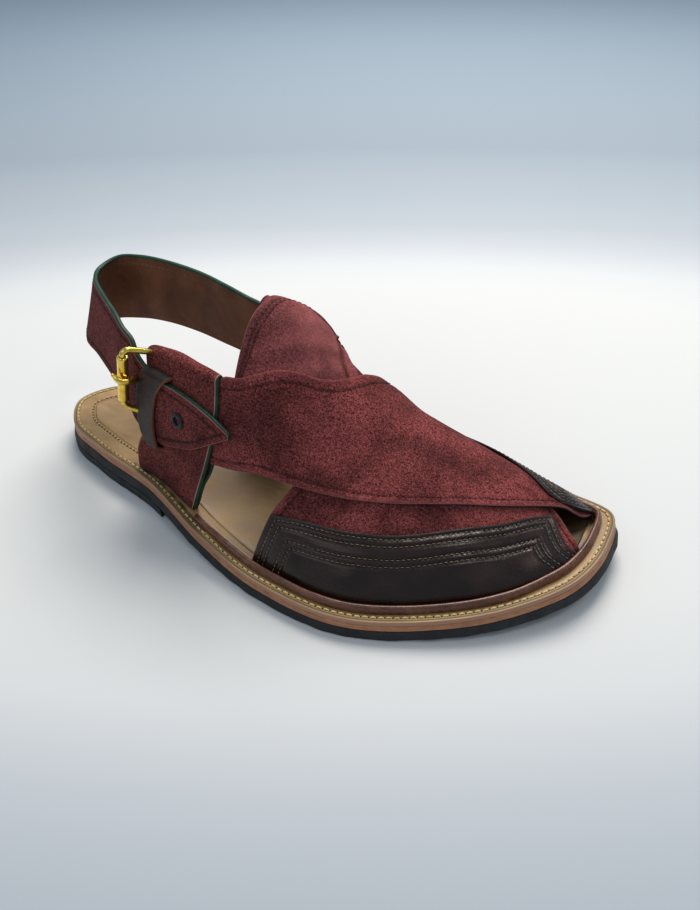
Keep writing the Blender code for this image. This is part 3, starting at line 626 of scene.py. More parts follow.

# %% [markdown]
# ## Suede
# Suede is the flesh side of the hide, brushed up into a nap. Tufts less than a millimetre across
# lean this way and that, so the surface is a salt and pepper of light tips and dark roots, with
# wider clouds where it has been handled. Noise at four sizes gives that without any picture. Near
# a seam the nap is crushed and darker, and at a rim it is worn lighter. By the sole a painted shade
# darkens it, mottled like grit, and a stored patch can lighten it as painted sheen.

# %% How suede is made
def suede(name, dark, middle, light, cloud, nap):
    """Brushed suede: colours of roots, pile and tips, the clouds' strength, a tuft's size."""
    made, tree, shader = start_finish(name, roughness=0.92)
    place = millimetres(tree)
    tufts = grain(tree, place, nap, 2.0, 0.5, 1.3)
    fine = grain(tree, place, nap * 0.45, 2.0, 0.6, 0.8)
    clumps = grain(tree, place, nap * 5.5, 3.0, 0.6, 0.6)
    clouds = grain(tree, place, 26.0, 3.0, 0.55, 0.4)
    pile = sums(tree, "MULTIPLY_ADD", tufts, 0.72, sums(tree, "MULTIPLY", fine, 0.23))
    pile = sums(tree, "ADD", pile, sums(tree, "MULTIPLY", clumps, 0.05))
    colour = colours(tree, pile, (0.41, dark), (0.49, middle), (0.585, light))
    # painted sheen: a stored patch blends the suede towards a colour paler than its tips
    painted_sheen = sums(tree, "MULTIPLY", stored(tree, "painted_sheen"), 0.55)
    colour = blend(tree, painted_sheen, colour, tuple(1.15 * c for c in light))
    shade = spread(tree, clouds, 0.36, 0.64, 1 - cloud * 0.6, 1 + cloud * 0.3)
    tint = node(tree, "CombineColor", {0: shade, 1: shade, 2: shade})
    colour = blend(tree, 1.0, colour, tint, "MULTIPLY")
    seam = spread(tree, stored(tree, "seam"), 0.15, 1.1, 0.5, 0.0)
    colour = blend(tree, seam, colour, tuple(0.4 * c for c in dark))
    rim = spread(tree, stored(tree, "edge"), 0.0, 1.6, 0.35, 0.0)
    colour = blend(tree, rim, colour, tuple(0.8 * c for c in light))
    # painted shade by the sole: the suede darkens where it meets the welt, mottled like grit
    foot = spread(tree, stored(tree, "foot"), 0.5, 7.0, 0.72, 0.0)
    gritty_shade = spread(tree, clumps, 0.35, 0.6, 0.55, 1.0)
    colour = blend(tree, sums(tree, "MULTIPLY", foot, gritty_shade), colour, (0.012, 0.007, 0.006))
    height = sums(tree, "MULTIPLY_ADD", tufts, 0.6, sums(tree, "MULTIPLY", fine, 0.3))
    finish_with(tree, shader, colour, height, depth=0.8)
    shader.inputs["Sheen Weight"].default_value = 0.03
    shader.inputs["Sheen Roughness"].default_value = 0.45
    shader.inputs["Sheen Tint"].default_value = (0.95, 0.45, 0.42, 1.0)
    shader.inputs["Specular IOR Level"].default_value = 0.12
    return made


print("suede reads from the mesh: stroked, seam, edge, foot")

# %% The three suedes
SUEDE = suede("burgundy_suede", (0.052, 0.009, 0.008), (0.156, 0.028, 0.027),
              (0.310, 0.078, 0.071), nap=0.68, cloud=0.75)
# a lighter copy of the burgundy suede: painted light for the tongue, which faces the lamp
LIT_TONGUE_SUEDE = suede("tongue_suede_painted_lighter", (0.084, 0.016, 0.016), (0.172, 0.037, 0.037),
                     (0.320, 0.094, 0.088), cloud=0.6, nap=0.66)
# a darker copy of the burgundy suede: painted shade for the side bands and the heel strap's
# outside, which face away from the lamp
SHADED_SUEDE = suede("suede_painted_darker", (0.030, 0.006, 0.005), (0.112, 0.022, 0.019),
                   (0.265, 0.064, 0.056), cloud=0.6, nap=0.7)
print("finishes so far:", len(bpy.data.materials))

# %% [markdown]
# Everything else of leather shares one simpler finish: pores over wider patches, and a rim that can
# be worn lighter. Cut edges, painted edges, linings and even threads differ only in their colours
# and in the size of their pores.

# %% How plain leather is made
def leather_finish(name, dark, middle, light, roughness, pore=0.9, relief=0.12, patches=18.0,
                   coat=0.0, stretch=(1, 1, 1), worn=0.0):
    """Grained leather: pores, wider patches, and lighter rims where it is worn."""
    made, tree, shader = start_finish(name, roughness)
    place = millimetres(tree, stretch)
    pores = grain(tree, place, pore, 4.0, 0.65)
    wide = grain(tree, place, patches, 3.0, 0.55, 0.5)
    value = sums(tree, "MULTIPLY_ADD", wide, 0.6, sums(tree, "MULTIPLY", pores, 0.4))
    colour = colours(tree, value, (0.34, dark), (0.5, middle), (0.66, light))
    if worn:
        rim = spread(tree, stored(tree, "edge"), 0.0, 1.4, worn, 0.0)
        colour = blend(tree, rim, colour, tuple(min(1.0, 1.5 * c) for c in light))
    rough = spread(tree, pores, 0.3, 0.7, roughness - 0.12, roughness + 0.12)
    finish_with(tree, shader, colour, pores, relief, rough)
    shader.inputs["Coat Weight"].default_value = coat
    shader.inputs["Coat Roughness"].default_value = 0.25
    shader.inputs["Specular IOR Level"].default_value = 0.3
    return made


print("plain leather reads from the mesh, where it is worn: edge")

# %% Linings, cut edges and painted edges
LINING = leather_finish("brown_lining", (0.086, 0.030, 0.013), (0.148, 0.054, 0.023),
                        (0.215, 0.083, 0.037), roughness=0.62, relief=0.08)
PINK_CUT = leather_finish("pink_cut_edge", (0.30, 0.11, 0.10), (0.42, 0.19, 0.17),
                          (0.56, 0.30, 0.27), roughness=0.8, pore=0.6)
ROSE_CUT = leather_finish("rose_cut_edge", (0.17, 0.055, 0.05), (0.25, 0.09, 0.08),
                          (0.36, 0.15, 0.13), roughness=0.8, pore=0.6)
RUST_CUT = leather_finish("rust_cut_edge", (0.09, 0.035, 0.018), (0.17, 0.065, 0.034),
                          (0.26, 0.11, 0.055), roughness=0.75, pore=0.6)
# near-black cut edges; on the awl-hole discs the same colour is painted shade
DARK_EDGE_AND_HOLE_SHADE = leather_finish("dark_edge_and_hole_shade", (0.008, 0.005, 0.004), (0.018, 0.010, 0.008),
                          (0.035, 0.020, 0.016), roughness=0.8, pore=0.6)
GREEN_EDGE = leather_finish("green_painted_edge", (0.003, 0.016, 0.008), (0.006, 0.034, 0.015),
                            (0.014, 0.068, 0.032), roughness=0.45, pore=1.1, relief=0.2)
FLESH = leather_finish("flesh_side", (0.028, 0.012, 0.009), (0.055, 0.022, 0.017),
                       (0.085, 0.036, 0.028), roughness=0.85, pore=0.7, relief=0.3)
print("finishes so far:", len(bpy.data.materials))

# %% [markdown]
# ## Laying a strap out on the last
# A strap is drawn as two edges on the last: pairs of (x, s) for its upper and its lower edge.
# Between them goes a grid whose columns lie at known distances from both edges, close together
# where the seams run, so that the groove of a seam is sharp without a fine grid everywhere.

# %% From two edges to a sheet
WALL, OVERLAP, TONGUE_ROOM = 1.8, 0.3, 0.6
NEAR = (0, 0.3, 0.7, 1.2, 1.7, 2.2, 2.7, 3.2, 3.7, 4.2, 4.7, 5.3, 6.0, 7.0)
FINE_ROWS, FINE_COLUMNS = 300, 61


def even_rows(table, count):
    """Table places, from 0 to its last row, that are evenly spaced over the last."""
    rows = np.array(table, float)
    at = np.linspace(0, len(rows) - 1, FINE_ROWS)
    fine = smooth(np.arange(len(rows)), rows, at)
    runs = [run_along(last_point(fine[:, k], fine[:, k + 1])) for k in (0, 2)]
    run = runs[0] / runs[0][-1] + runs[1] / runs[1][-1]
    return np.interp(np.linspace(0, 2, count), run, at)


def lay_out(table, lift, count, near=NEAR, middle=14):
    """A grid on the last, with columns at the distances near from both edges.

    A fifth and a sixth number in the table bow a row in x and in s.
    """
    rows = np.array(table, float)
    at = even_rows(table, count)
    rows = smooth(np.arange(len(rows)), rows, at)
    bow, lean = (rows[:, 4:5], rows[:, 5:6]) if rows.shape[1] > 4 else (0.0, 0.0)

    def points(v):
        x = rows[:, :1] + (rows[:, 2:3] - rows[:, :1]) * v + 4 * bow * v * (1 - v)
        s = rows[:, 1:2] + (rows[:, 3:4] - rows[:, 1:2]) * v + 4 * lean * v * (1 - v)
        return x, s, on_last(x, s, lift(x, s, v + 0 * x))

    fine = np.linspace(0, 1, FINE_COLUMNS)[None] + np.zeros((count, 1))
    runs = run_along(points(fine)[2])
    v = []
    for run in runs:
        first = np.array(near) * min(1.0, 0.4 * run[-1] / near[-1])
        inner = np.linspace(first[-1], run[-1] - first[-1], middle + 2)[1:-1]
        v.append(np.interp(np.concatenate((first, inner, run[-1] - first[::-1])), run, fine[0]))
    v = np.array(v)
    x, s, grid = points(v)
    outward = (grid_normals(grid) * last_normal(x, s)).sum()
    flipped = outward < 0
    turn = slice(None, None, -1 if flipped else 1)
    return SimpleNamespace(x=x[turn], s=s[turn], back=grid[turn], flipped=flipped)


print("columns near each edge:", len(NEAR))

# %% [markdown]
# The grid is the sheet's back. Its face is one wall's thickness further out, a little thinner at
# the rim and with a ripple. A seam pulls the face in, and the finish also wants to know how near
# each point is to a seam, to the rim and to the sole, so those distances are stored on the mesh.

# %% A sheet's face and its seams
RIM_REACH, RIM_THINNING = 2.5, 0.25


def thicken(sheet, thickness, undulation=0.3, size=22.0, seed=1):
    """Give a sheet its outer face, with a little life in it and thinner rims."""
    normals = grid_normals(sheet.back)
    runs = run_along(sheet.back)
    sheet.edge = np.minimum(runs, runs[:, -1:] - runs)
    inner = 1 - np.exp(-sheet.edge / RIM_REACH)
    swell = undulation * ripple(sheet.back, size, seed) * inner
    sheet.face = sheet.back + normals * (thickness - RIM_THINNING * (1 - inner)
                                         + swell)[..., None]
    return sheet


def seam(sheet, distance, start=0.0, end=1.0, lower=False, count=170):
    """A seam parallel to the upper or the lower edge."""
    share = np.linspace(start, end, count)
    rows = (1 - share if sheet.flipped else share) * (len(sheet.face) - 1.001)
    return seam_on(sheet.face, (rows, column_at(sheet.face, rows, distance, lower)))


def press(sheet, seams, depth=0.35, width=0.8):
    """Pull the face in along its seams."""
    sheet.seam = seam_distance(sheet.face, seams)
    pull = depth * np.exp(-(sheet.seam / width) ** 2)
    sheet.face = sheet.face - grid_normals(sheet.face) * pull[..., None]


print("a sheet loses", RIM_THINNING, "mm at its rim")

# %% Sewing a sheet into a piece
SHADE_FREE_HEIGHT = 9.0                 # so far above the sole, no painted shade darkens the suede


def sewn(name, sheet, finishes, slot, stands_for, upper=2, lower=2,
         rim=(0.35, 0.35, 0.35, 0.35), **shape):
    """Make the piece of a sheet and store what its finish reads; rim: upper, end, lower, start."""
    if sheet.flipped:
        rim = (rim[0], rim[3], rim[2], rim[1])
    item = leather(name, sheet.face, sheet.back, finishes, slot, stands_for,
                   rims=(upper, 2, lower, 2), rim=rim, **shape)
    total = len(item.data.vertices)
    size = sheet.face.shape[0] * sheet.face.shape[1]
    foot = sheet.face[..., 2] - rim_height(sheet.face[..., 0])
    for label, values, rest in (("seam", sheet.seam, SEAM_REACH), ("edge", sheet.edge, 0.0),
                                ("foot", foot, SHADE_FREE_HEIGHT)):
        full = np.full(total, rest, dtype=np.float32)
        full[:size] = values.ravel()
        full[size:2 * size] = values.ravel()
        mark(item, label, full)
    return item


print("each sewn piece stores: seam, edge, foot")

# %% [markdown]
# ## The two crossed straps
# The front of the chappal is two wide straps. The under strap comes up from the lateral side of the
# toe and crosses to the medial side; the over strap covers it, from the medial side of the toe back
# over the instep to the buckle. Both are one continuous sheet on the last, so a single grid each is
# enough and keeps the long sweeping lines fair. The over strap's upper edge is turned in, so it
# has the suede's own colour; the others are cut edges, left raw.

# %% The straps' edges on the last
OVER_STRAP = (
    # x and s on the upper edge, then x and s on the lower edge
    (88.0, -0.630, 88.0, -0.90), (103.0, -0.577, 102.0, -0.86), (119.0, -0.508, 117.0, -0.808),
    (123.5, -0.462, 125.0, -0.78), (133.4, -0.410, 140.0, -0.72), (147.6, -0.285, 170.0, -0.575),
    (163.0, -0.105, 203.0, -0.44), (171.5, 0.20, 236.0, -0.27), (167.5, 0.48, 259.0, -0.045),
    (163.0, 0.70, 267.6, 0.0), (159.5, 0.82, 271.6, 0.08), (156.0, 0.91, 273.2, 0.42),
    (152.0, 1.0, 273.9, 1.0),
)
UNDER_STRAP = (
    (118.0, 0.52, 117.0, 0.81), (134.0, 0.45, 135.0, 0.74), (143.5, 0.39, 152.0, 0.66),
    (152.0, 0.22, 172.0, 0.57), (163.0, 0.08, 203.0, 0.44), (170.0, -0.10, 232.0, 0.30),
    (169.0, -0.38, 251.0, 0.03), (160.0, -0.63, 263.5, -0.15), (152.5, -0.805, 271.3, -0.46),
    (146.5, -1.0, 273.6, -1.0),
)
print("rows in the straps' tables:", len(OVER_STRAP), len(UNDER_STRAP))

# %% How high the layers lie on one another
HEM_RISE = 0.7


def no_lift(x, s, v):
    """The lowest layer lies on the last itself."""
    return 0 * x


def tongue_lift(x, s, v):
    """Height of the tongue: on the last at the lateral side, on the under strap at the medial."""
    return (WALL + TONGUE_ROOM) * ease(s, -0.36, -0.10)


def over_strap_lift(x, s, v):
    """Height of the over strap: on the under strap, over the tongue, a little up at its hem."""
    above_tongue = ((1 - ease(v, 0.30, 0.62)) * ease(x, 122.0, 130.0) * (1 - ease(x, 178.0, 196.0))
                    * (1 - ease(s, 0.24, 0.50)))
    stacked = tongue_lift(x, s, v) + WALL + 2 * GAP
    laid = (WALL - OVERLAP) * (1 - ease(s, 0.68, 0.97))
    laid *= 1 - ease(x, 262.0, 271.0)
    laid += HEM_RISE * ease(v, 0.9, 1.0) * ease(x, 125.0, 140.0) * (1 - ease(x, 262.0, 270.0))
    return laid + np.clip(stacked - laid, 0, None) * above_tongue


print("tongue over the under strap:", tongue_lift(0.0, 0.5, 0.0), "mm above the last")

# %% Under strap
under = thicken(lay_out(UNDER_STRAP, no_lift, 150), WALL, seed=3)
under_seams = [seam(under, 2.6, 0.1, 1.0, lower=True), seam(under, 4.0, 0.25, 0.9)]
press(under, under_seams)
sewn("under_strap", under, [SUEDE, FLESH, RUST_CUT, ROSE_CUT], "suede", ("upper",))

# %% Over strap
over = thicken(lay_out(OVER_STRAP, over_strap_lift, 190, middle=20), WALL, 0.22, seed=5)
over_seams = [seam(over, 3.4, 0.0, 1.0, lower=True), seam(over, 4.2, 0.0, 0.98)]
press(over, over_seams, depth=0.25, width=0.7)
sewn("over_strap", over, [SUEDE, FLESH, DARK_EDGE_AND_HOLE_SHADE, ROSE_CUT], "suede", ("upper",), upper=0,
     lip_strips=3, rim=(0.9, 0.35, 0.3, 0.35))
SUEDE_THREAD = leather_finish("maroon_thread", (0.020, 0.006, 0.006), (0.045, 0.012, 0.012),
                              (0.080, 0.022, 0.022), roughness=0.7, pore=0.5)
stitches("strap_stitches", under_seams + over_seams, SUEDE_THREAD, pitch=2.6,
         length=1.5, width=0.38, rise=0.05)

# %% [markdown]
# ## The tongue
# A rounded flap closes the gap above the crossing. Its free edge is sewn with two rows close
# together, and a patch of painted sheen lightens the flap. One fold line runs over it; it is
# pressed into the mesh like a seam, only without thread, and its crease is painted darker as shade.

# %% Tongue
TONGUE = (
    (126.8, -0.48, 128.0, -0.56), (127.0, -0.30, 140.0, -0.45), (127.0, -0.10, 152.0, -0.33),
    (129.0, 0.12, 160.0, -0.22), (140.0, 0.21, 167.0, -0.14), (152.0, 0.13, 171.0, -0.09),
    (162.0, -0.03, 174.0, -0.05),
)
FOLD_LINE = ((150.3, 0.19), (155.6, 0.016), (161.6, -0.058), (165.0, -0.085))
tongue = thicken(lay_out(TONGUE, tongue_lift, 150, middle=60), WALL, 0.8, 13.0, seed=9)
tongue_seams = [seam(tongue, 3.7, 0.02, 0.97), seam(tongue, 6.0, 0.04, 0.95)]
fold_x, fold_s = smooth(np.arange(len(FOLD_LINE)), FOLD_LINE,
                        np.linspace(0, len(FOLD_LINE) - 1, 60)).T
fold_path = on_last(fold_x, fold_s, tongue_lift(fold_x, fold_s, 0) + WALL)
press(tongue, tongue_seams, depth=0.4, width=0.7)
pressed_seam = tongue.seam
press(tongue, [(fold_path, None)], depth=1.0, width=0.5)
# the fold's crease is painted darker as shade: it darkens like a seam, over a wider reach
tongue.seam = np.minimum(pressed_seam, tongue.seam * 0.4)
flap = sewn("tongue_flap", tongue, [LIT_TONGUE_SUEDE, FLESH, ROSE_CUT, ROSE_CUT], "suede",
            ("tongue",))
# painted sheen on the middle of the tongue, where it faces the light
painted_sheen = np.zeros(len(flap.data.vertices))
painted_sheen[:tongue.x.size] = (bump_at(tongue.x, 150.0, 14.0) * bump_at(tongue.s, 0.02, 0.22)).ravel()
mark(flap, "painted_sheen", painted_sheen)
stitches("tongue_stitches", tongue_seams, SUEDE_THREAD, pitch=2.5, length=1.5,
         width=0.6, rise=0.04, tall=0.45)

# %% [markdown]
# ## The glossy side panels
# Dark, polished panels protect the foot of both straps. Each is held by nested frames of pale
# stitches, pulled so tight that the leather swells between the rows; the swelling catches the
# light, so it is shaped in the mesh and the finish only adds pores and small creases.

# %% Glossy leather and its pale thread
def polished_leather(name, dark, light, roughness):
    """Near-black leather with a polished coat, fine pores and creases that run with the rows."""
    made, tree, shader = start_finish(name, roughness)
    place = millimetres(tree)
    pores = grain(tree, place, 0.7, 3.0, 0.6)
    cracks = grain(tree, millimetres(tree, (0.45, 1.0, 1.0)), 2.1, 2.0, 0.5, 1.0)
    wide = grain(tree, place, 16.0, 2.0)
    colour = colours(tree, wide, (0.35, dark), (0.65, light))
    # darker along the pressed seams
    seam_darkening = spread(tree, stored(tree, "seam"), 0.3, 1.2, 0.6, 0.0)
    colour = blend(tree, seam_darkening, colour, (0.003, 0.002, 0.002))
    rim = spread(tree, stored(tree, "edge"), 0.0, 0.9, 0.6, 0.0)
    colour = blend(tree, rim, colour, (0.035, 0.026, 0.020))
    rough = spread(tree, sums(tree, "ADD", pores, sums(tree, "MULTIPLY", wide, 0.5)), 0.55, 0.95,
                   roughness - 0.08, roughness + 0.14)
    height = sums(tree, "MULTIPLY_ADD", cracks, 0.85, sums(tree, "MULTIPLY", pores, 0.12))
    crinkled = spread(tree, stored(tree, "seam"), 0.6, 3.4, 1.0, 0.35)
    height = sums(tree, "MULTIPLY", height, crinkled)
    finish_with(tree, shader, colour, height, 0.22, rough)
    shader.inputs["Coat Weight"].default_value = 0.2
    shader.inputs["Coat Roughness"].default_value = 0.2
    shader.inputs["Specular IOR Level"].default_value = 0.35
    shader.inputs["Specular Tint"].default_value = (1.0, 0.76, 0.70, 1.0)
    return made


GLOSSY = polished_leather("glossy_dark_leather", (0.008, 0.0035, 0.0026), (0.019, 0.009, 0.006),
                          roughness=0.27)
PALE_THREAD = leather_finish("beige_thread", (0.07, 0.05, 0.03), (0.16, 0.12, 0.075),
                             (0.28, 0.22, 0.145), roughness=0.7, pore=0.4)
PANEL_THICK, PANEL_ROWS, PANEL_MIDDLE = 1.2, 210, 10
PANEL_NEAR = (0, 0.3, 0.7, 1.1, 1.5, 1.9, 2.4, 3.0, 3.6, 4.1, 4.5, 4.9, 5.5, 6.3, 7.2, 8.1, 8.9,
              9.5, 10.0, 10.5, 11.2, 11.9, 12.5, 13.0, 13.5, 14.2)

# %% A seam that frames a panel on three sides
def frame_seam(sheet, top, start, end, count=60):
    """Up near the start, along the upper edge, and down near the end, at distances in mm."""
    turn = -1 if sheet.flipped else 1
    grid = sheet.face[::turn]
    normals = grid_normals(grid) * turn
    columns = np.arange(grid.shape[1])
    runs = run_along(np.swapaxes(grid, 0, 1))
    first = np.array([np.interp(start, run, np.arange(len(run))) for run in runs])
    last = np.array([np.interp(run[-1] - end, run, np.arange(len(run))) for run in runs])
    near = column_at(grid, np.array([first[len(columns) // 3], last[len(columns) // 3]]), top)
    down = np.linspace(0, 1, count)
    legs = []
    for rows, column in ((first, near[0]), (last, near[1])):
        j = column + (len(columns) - 1.01 - column) * down
        legs.append((np.interp(j, columns, rows), j))
    i = np.linspace(legs[0][0][0], legs[1][0][0], 3 * count)
    i = np.concatenate((legs[0][0][::-1], i[1:-1], legs[1][0]))
    j = np.concatenate((legs[0][1][::-1], column_at(grid, i[count:-count], top), legs[1][1]))
    return at_grid(grid, i, j), unit(at_grid(normals, i, j))


def stitched_panel(name, table, lift, frames, seed, stands_for, rise):
    """A glossy panel with its frames of stitches, each frame at (top, start, end) in mm."""
    panel = lay_out(table, lift, PANEL_ROWS, PANEL_NEAR, PANEL_MIDDLE)
    thicken(panel, PANEL_THICK, 0.2, 18.0, seed)
    seams = [frame_seam(panel, *frame) for frame in frames]
    press(panel, seams, depth=0.65, width=0.8)
    sewn(name, panel, [GLOSSY, FLESH, DARK_EDGE_AND_HOLE_SHADE, GLOSSY], "dark_leather", (stands_for,))
    stitches(name + "_stitches", seams, PALE_THREAD, pitch=2.25, length=1.5,
             width=0.34, rise=rise)


print("columns near a panel's edge:", len(PANEL_NEAR))

# %% Lateral panel
LATERAL_PANEL = (
    # x and s on the upper edge, then x and s at the sole
    (153.5, -0.79, 147.5, -1.0), (170.0, -0.71, 170.0, -1.0), (190.0, -0.645, 195.0, -1.0),
    (208.0, -0.585, 218.0, -1.0), (225.0, -0.495, 236.0, -1.0), (241.0, -0.375, 252.0, -1.0),
    (251.5, -0.235, 264.5, -1.0), (259.0, -0.15, 272.6, -0.995),
)
FRONT_BOW = (0, 0, 0, 0, 0, 1.5, 3.0, 3.6)    # how far each row bows towards the toe
SIDE_FRAMES = ((1.6, 3.0, 2.6), (4.6, 6.0, 5.6), (10.0, 12.0, 11.0), (13.0, 15.0, 14.4))


def side_panel_lift(x, s, v):
    """Height of the lateral panel: just clear of the under strap."""
    return WALL + GAP + 0 * x


stitched_panel("side_panel", [(*row, bow, 0.0) for row, bow in zip(LATERAL_PANEL, FRONT_BOW)],
               side_panel_lift, SIDE_FRAMES, 21, "lateral_panel", 0.12)

# %% Medial panel
MEDIAL_PANEL = (
    (158.0, 0.90, 153.5, 1.0), (175.0, 0.70, 175.0, 1.0), (195.0, 0.58, 200.0, 1.0),
    (215.0, 0.46, 222.0, 1.0), (232.0, 0.34, 240.0, 1.0), (244.0, 0.215, 255.0, 1.0),
    (253.0, 0.07, 265.0, 1.0), (261.0, 0.02, 273.7, 1.0),
)
TOE_BOW = (0, 0, 0, 0, 0, 0.5, 2.0, 4.4)
TOE_LEAN = (0, 0, 0, 0, 0, 0, -0.08, -0.22)
TOE_FRAMES = ((1.6, 3.0, 2.5), (4.2, 6.0, 5.0), (6.8, 9.0, 7.5), (9.4, 12.0, 10.0),
              (12.0, 15.0, 12.5))


def toe_panel_lift(x, s, v):
    """Height of the medial panel: just clear of the over strap, without its hem's rise."""
    return over_strap_lift(x, s, 0.8 + 0 * x) + WALL + GAP


stitched_panel("toe_panel", [(*row, bow, lean) for row, bow, lean
                             in zip(MEDIAL_PANEL, TOE_BOW, TOE_LEAN)],
               toe_panel_lift, TOE_FRAMES, 22, "medial_panel", 0.1)

# %% [markdown]
# ## The side bands
# Each band is a doubled piece of suede: it comes up from the sole, folds over and goes back down,
# and the straps are held inside the fold. The lateral band's edges are painted green, with the
# pale cut line of the suede beside the paint; the medial band's edges are left raw. One grid runs
# up the inner leg, over the fold and down the outer leg, so the fold is round and has no seam.

# %% A folded band
BAND_THICK = 2.2
BAND = {
    # x of the feet and the tops, s along the top, the middle's lift and the fold's radius in mm
    "lateral": {"rear_foot": 68.5, "rear_top": 80.8, "front_foot": 108.0, "front_top": 120.5,
                "top_rear": -0.62, "top_front": -0.495, "lift": 2.4, "fold": 2.3,
                "foot": 0.0},
    "medial": {"rear_foot": 88.0, "rear_top": 116.0, "front_foot": 128.0, "front_top": 142.0,
               "top_rear": -0.455, "top_front": -0.36, "lift": 0.9, "fold": 3.0,
               "foot": 0.015},
}


def band_sheet(side, shape, across=44, leg_rows=34, turns=17):
    """Inner leg, round fold and outer leg as one grid."""
    u = np.linspace(0, 1, across)[:, None]
    u = 0.5 - 0.5 * np.cos(math.pi * u) * (0.6 + 0.4 * np.cos(math.pi * u) ** 2)
    rise = np.linspace(0, 1, leg_rows)[None, :]

    def leg(lift, foot):
        rear = shape["rear_foot"] + (shape["rear_top"] - shape["rear_foot"]) * ease(rise, 0.1, 0.5)
        front = (shape["front_foot"] + (shape["front_top"] - shape["front_foot"])
                 * 1.08 * np.sin(2 * rise))
        top = shape["top_rear"] + (shape["top_front"] - shape["top_rear"]) * u
        s = foot - 1 + (top - foot + 1) * rise
        return on_last(rear + (front - rear) * u, -side * s, lift + 0 * s)

    shut = (2 * shape["fold"] - BAND_THICK - 0.05) * (1 - ease(rise, 0.16, 0.32))
    inner = leg(shape["lift"] - shape["fold"] + shut, 0.0)
    outer = leg(shape["lift"] + shape["fold"], shape["foot"])
    crown, reach = (inner[:, -1] + outer[:, -1]) / 2, (outer[:, -1] - inner[:, -1]) / 2
    up = unit(outer[:, -1] - outer[:, -2])
    fold = [crown - reach * math.cos(a) + up * shape["fold"] * math.sin(a)
            for a in np.linspace(0, math.pi, turns + 1)[1:-1]]
    grid = np.concatenate((inner, np.stack(fold, axis=1), outer[:, ::-1]), axis=1)
    outward = (grid_normals(grid)[:, -leg_rows:] * (outer - inner)[:, ::-1]).sum()
    grid = grid[::-1] if outward < 0 else grid
    middle = SimpleNamespace(back=grid, flipped=outward < 0)
    runs = run_along(np.swapaxes(grid, 0, 1)).T
    middle.edge = np.minimum(runs, runs[-1:] - runs)
    normals = grid_normals(grid)
    soft = 1 - np.exp(-middle.edge / 2.0)
    swell = 0.3 * ripple(grid, 16.0, 31 + side) * soft
    middle.face = grid + normals * (BAND_THICK / 2 - 0.3 * (1 - soft) + swell)[..., None]
    middle.back = grid - normals * BAND_THICK / 2
    middle.seam = SEAM_REACH + 0 * middle.edge
    return middle


print("a folded band is", 2 * BAND_THICK, "mm of leather")

# %% Lateral and medial band
outer_band = band_sheet(LATERAL, BAND["lateral"])
sewn("buckle_band", outer_band, [SHADED_SUEDE, FLESH, GREEN_EDGE, PINK_CUT], "suede",
     ("lateral_band",), rim=(0.3, 1.3, 0.3, 1.0))
inner_band = band_sheet(MEDIAL, BAND["medial"])
sewn("inside_band", inner_band, [SHADED_SUEDE, FLESH, RUST_CUT, ROSE_CUT], "suede",
     ("medial_band",))

# %% [markdown]
# ## The heel strap
# The heel strap is suede outside and smooth brown leather inside, sewn together near both edges
# and painted green along the top. It starts as a point on the lateral band, goes through the
# buckle and round the heel, and ends inside the medial band. Its upper and its lower edge are
# enough to draw it: near both ends their rows are places on the last, and round the heel, where
# the strap hangs free, they are places in space.

# %% The strap's edges
STRAP_THICK, KEEPER_THICK, KEEPER_ROOM = 2.2, 1.6, 0.6
STRAP_TOP = (BAND["lateral"]["lift"] + BAND["lateral"]["fold"] + BAND_THICK / 2 + GAP
             + STRAP_THICK)
STRAP_ON_BAND = (
    # x and s on the lower edge, then x and s on the upper edge
    (131.8, -0.638, 131.8, -0.626), (123.0, -0.70, 123.0, -0.614), (112.0, -0.78, 112.0, -0.62),
    (101.0, -0.832, 103.0, -0.638), (90.0, -0.868, 94.0, -0.658), (81.0, -0.872, 85.0, -0.664),
)
STRAP_ROUND_HEEL = (
    # x, y and z of the lower edge, then of the upper edge
    (71.0, -28.6, 46.5, 76.6, -26.2, 81.0), (65.0, -24.6, 51.0, 72.5, -23.4, 86.5),
    (58.0, -20.5, 54.5, 66.0, -20.5, 89.0), (47.0, -14.0, 56.5, 58.0, -15.0, 91.0),
    (31.0, -4.0, 57.5, 42.0, -4.0, 92.0), (17.0, 4.5, 57.5, 28.0, 7.5, 92.0),
    (10.5, 14.0, 57.0, 21.5, 18.0, 91.5), (15.0, 27.0, 58.0, 24.5, 29.0, 93.5),
    (30.0, 31.5, 60.0, 36.0, 31.5, 95.0), (48.0, 31.5, 62.0, 53.0, 31.5, 95.5),
    (69.0, 30.5, 61.5, 74.0, 30.5, 94.0), (86.0, 27.4, 61.0, 91.0, 26.2, 93.0),
)
# as on the band, and then the lift above the last
STRAP_END = ((102.0, 0.785, 105.0, 0.545, 1.2), (110.0, 0.775, 111.0, 0.52, 1.3),
             (115.8, 0.77, 116.2, 0.505, 1.4))
print("the strap's outside on the band:", round(STRAP_TOP, 2), "mm above the last")

# %% The strap as one grid
HEEL_MIDDLE = np.array((70.0, 5.0, 75.0))     # a point well inside the loop of the strap


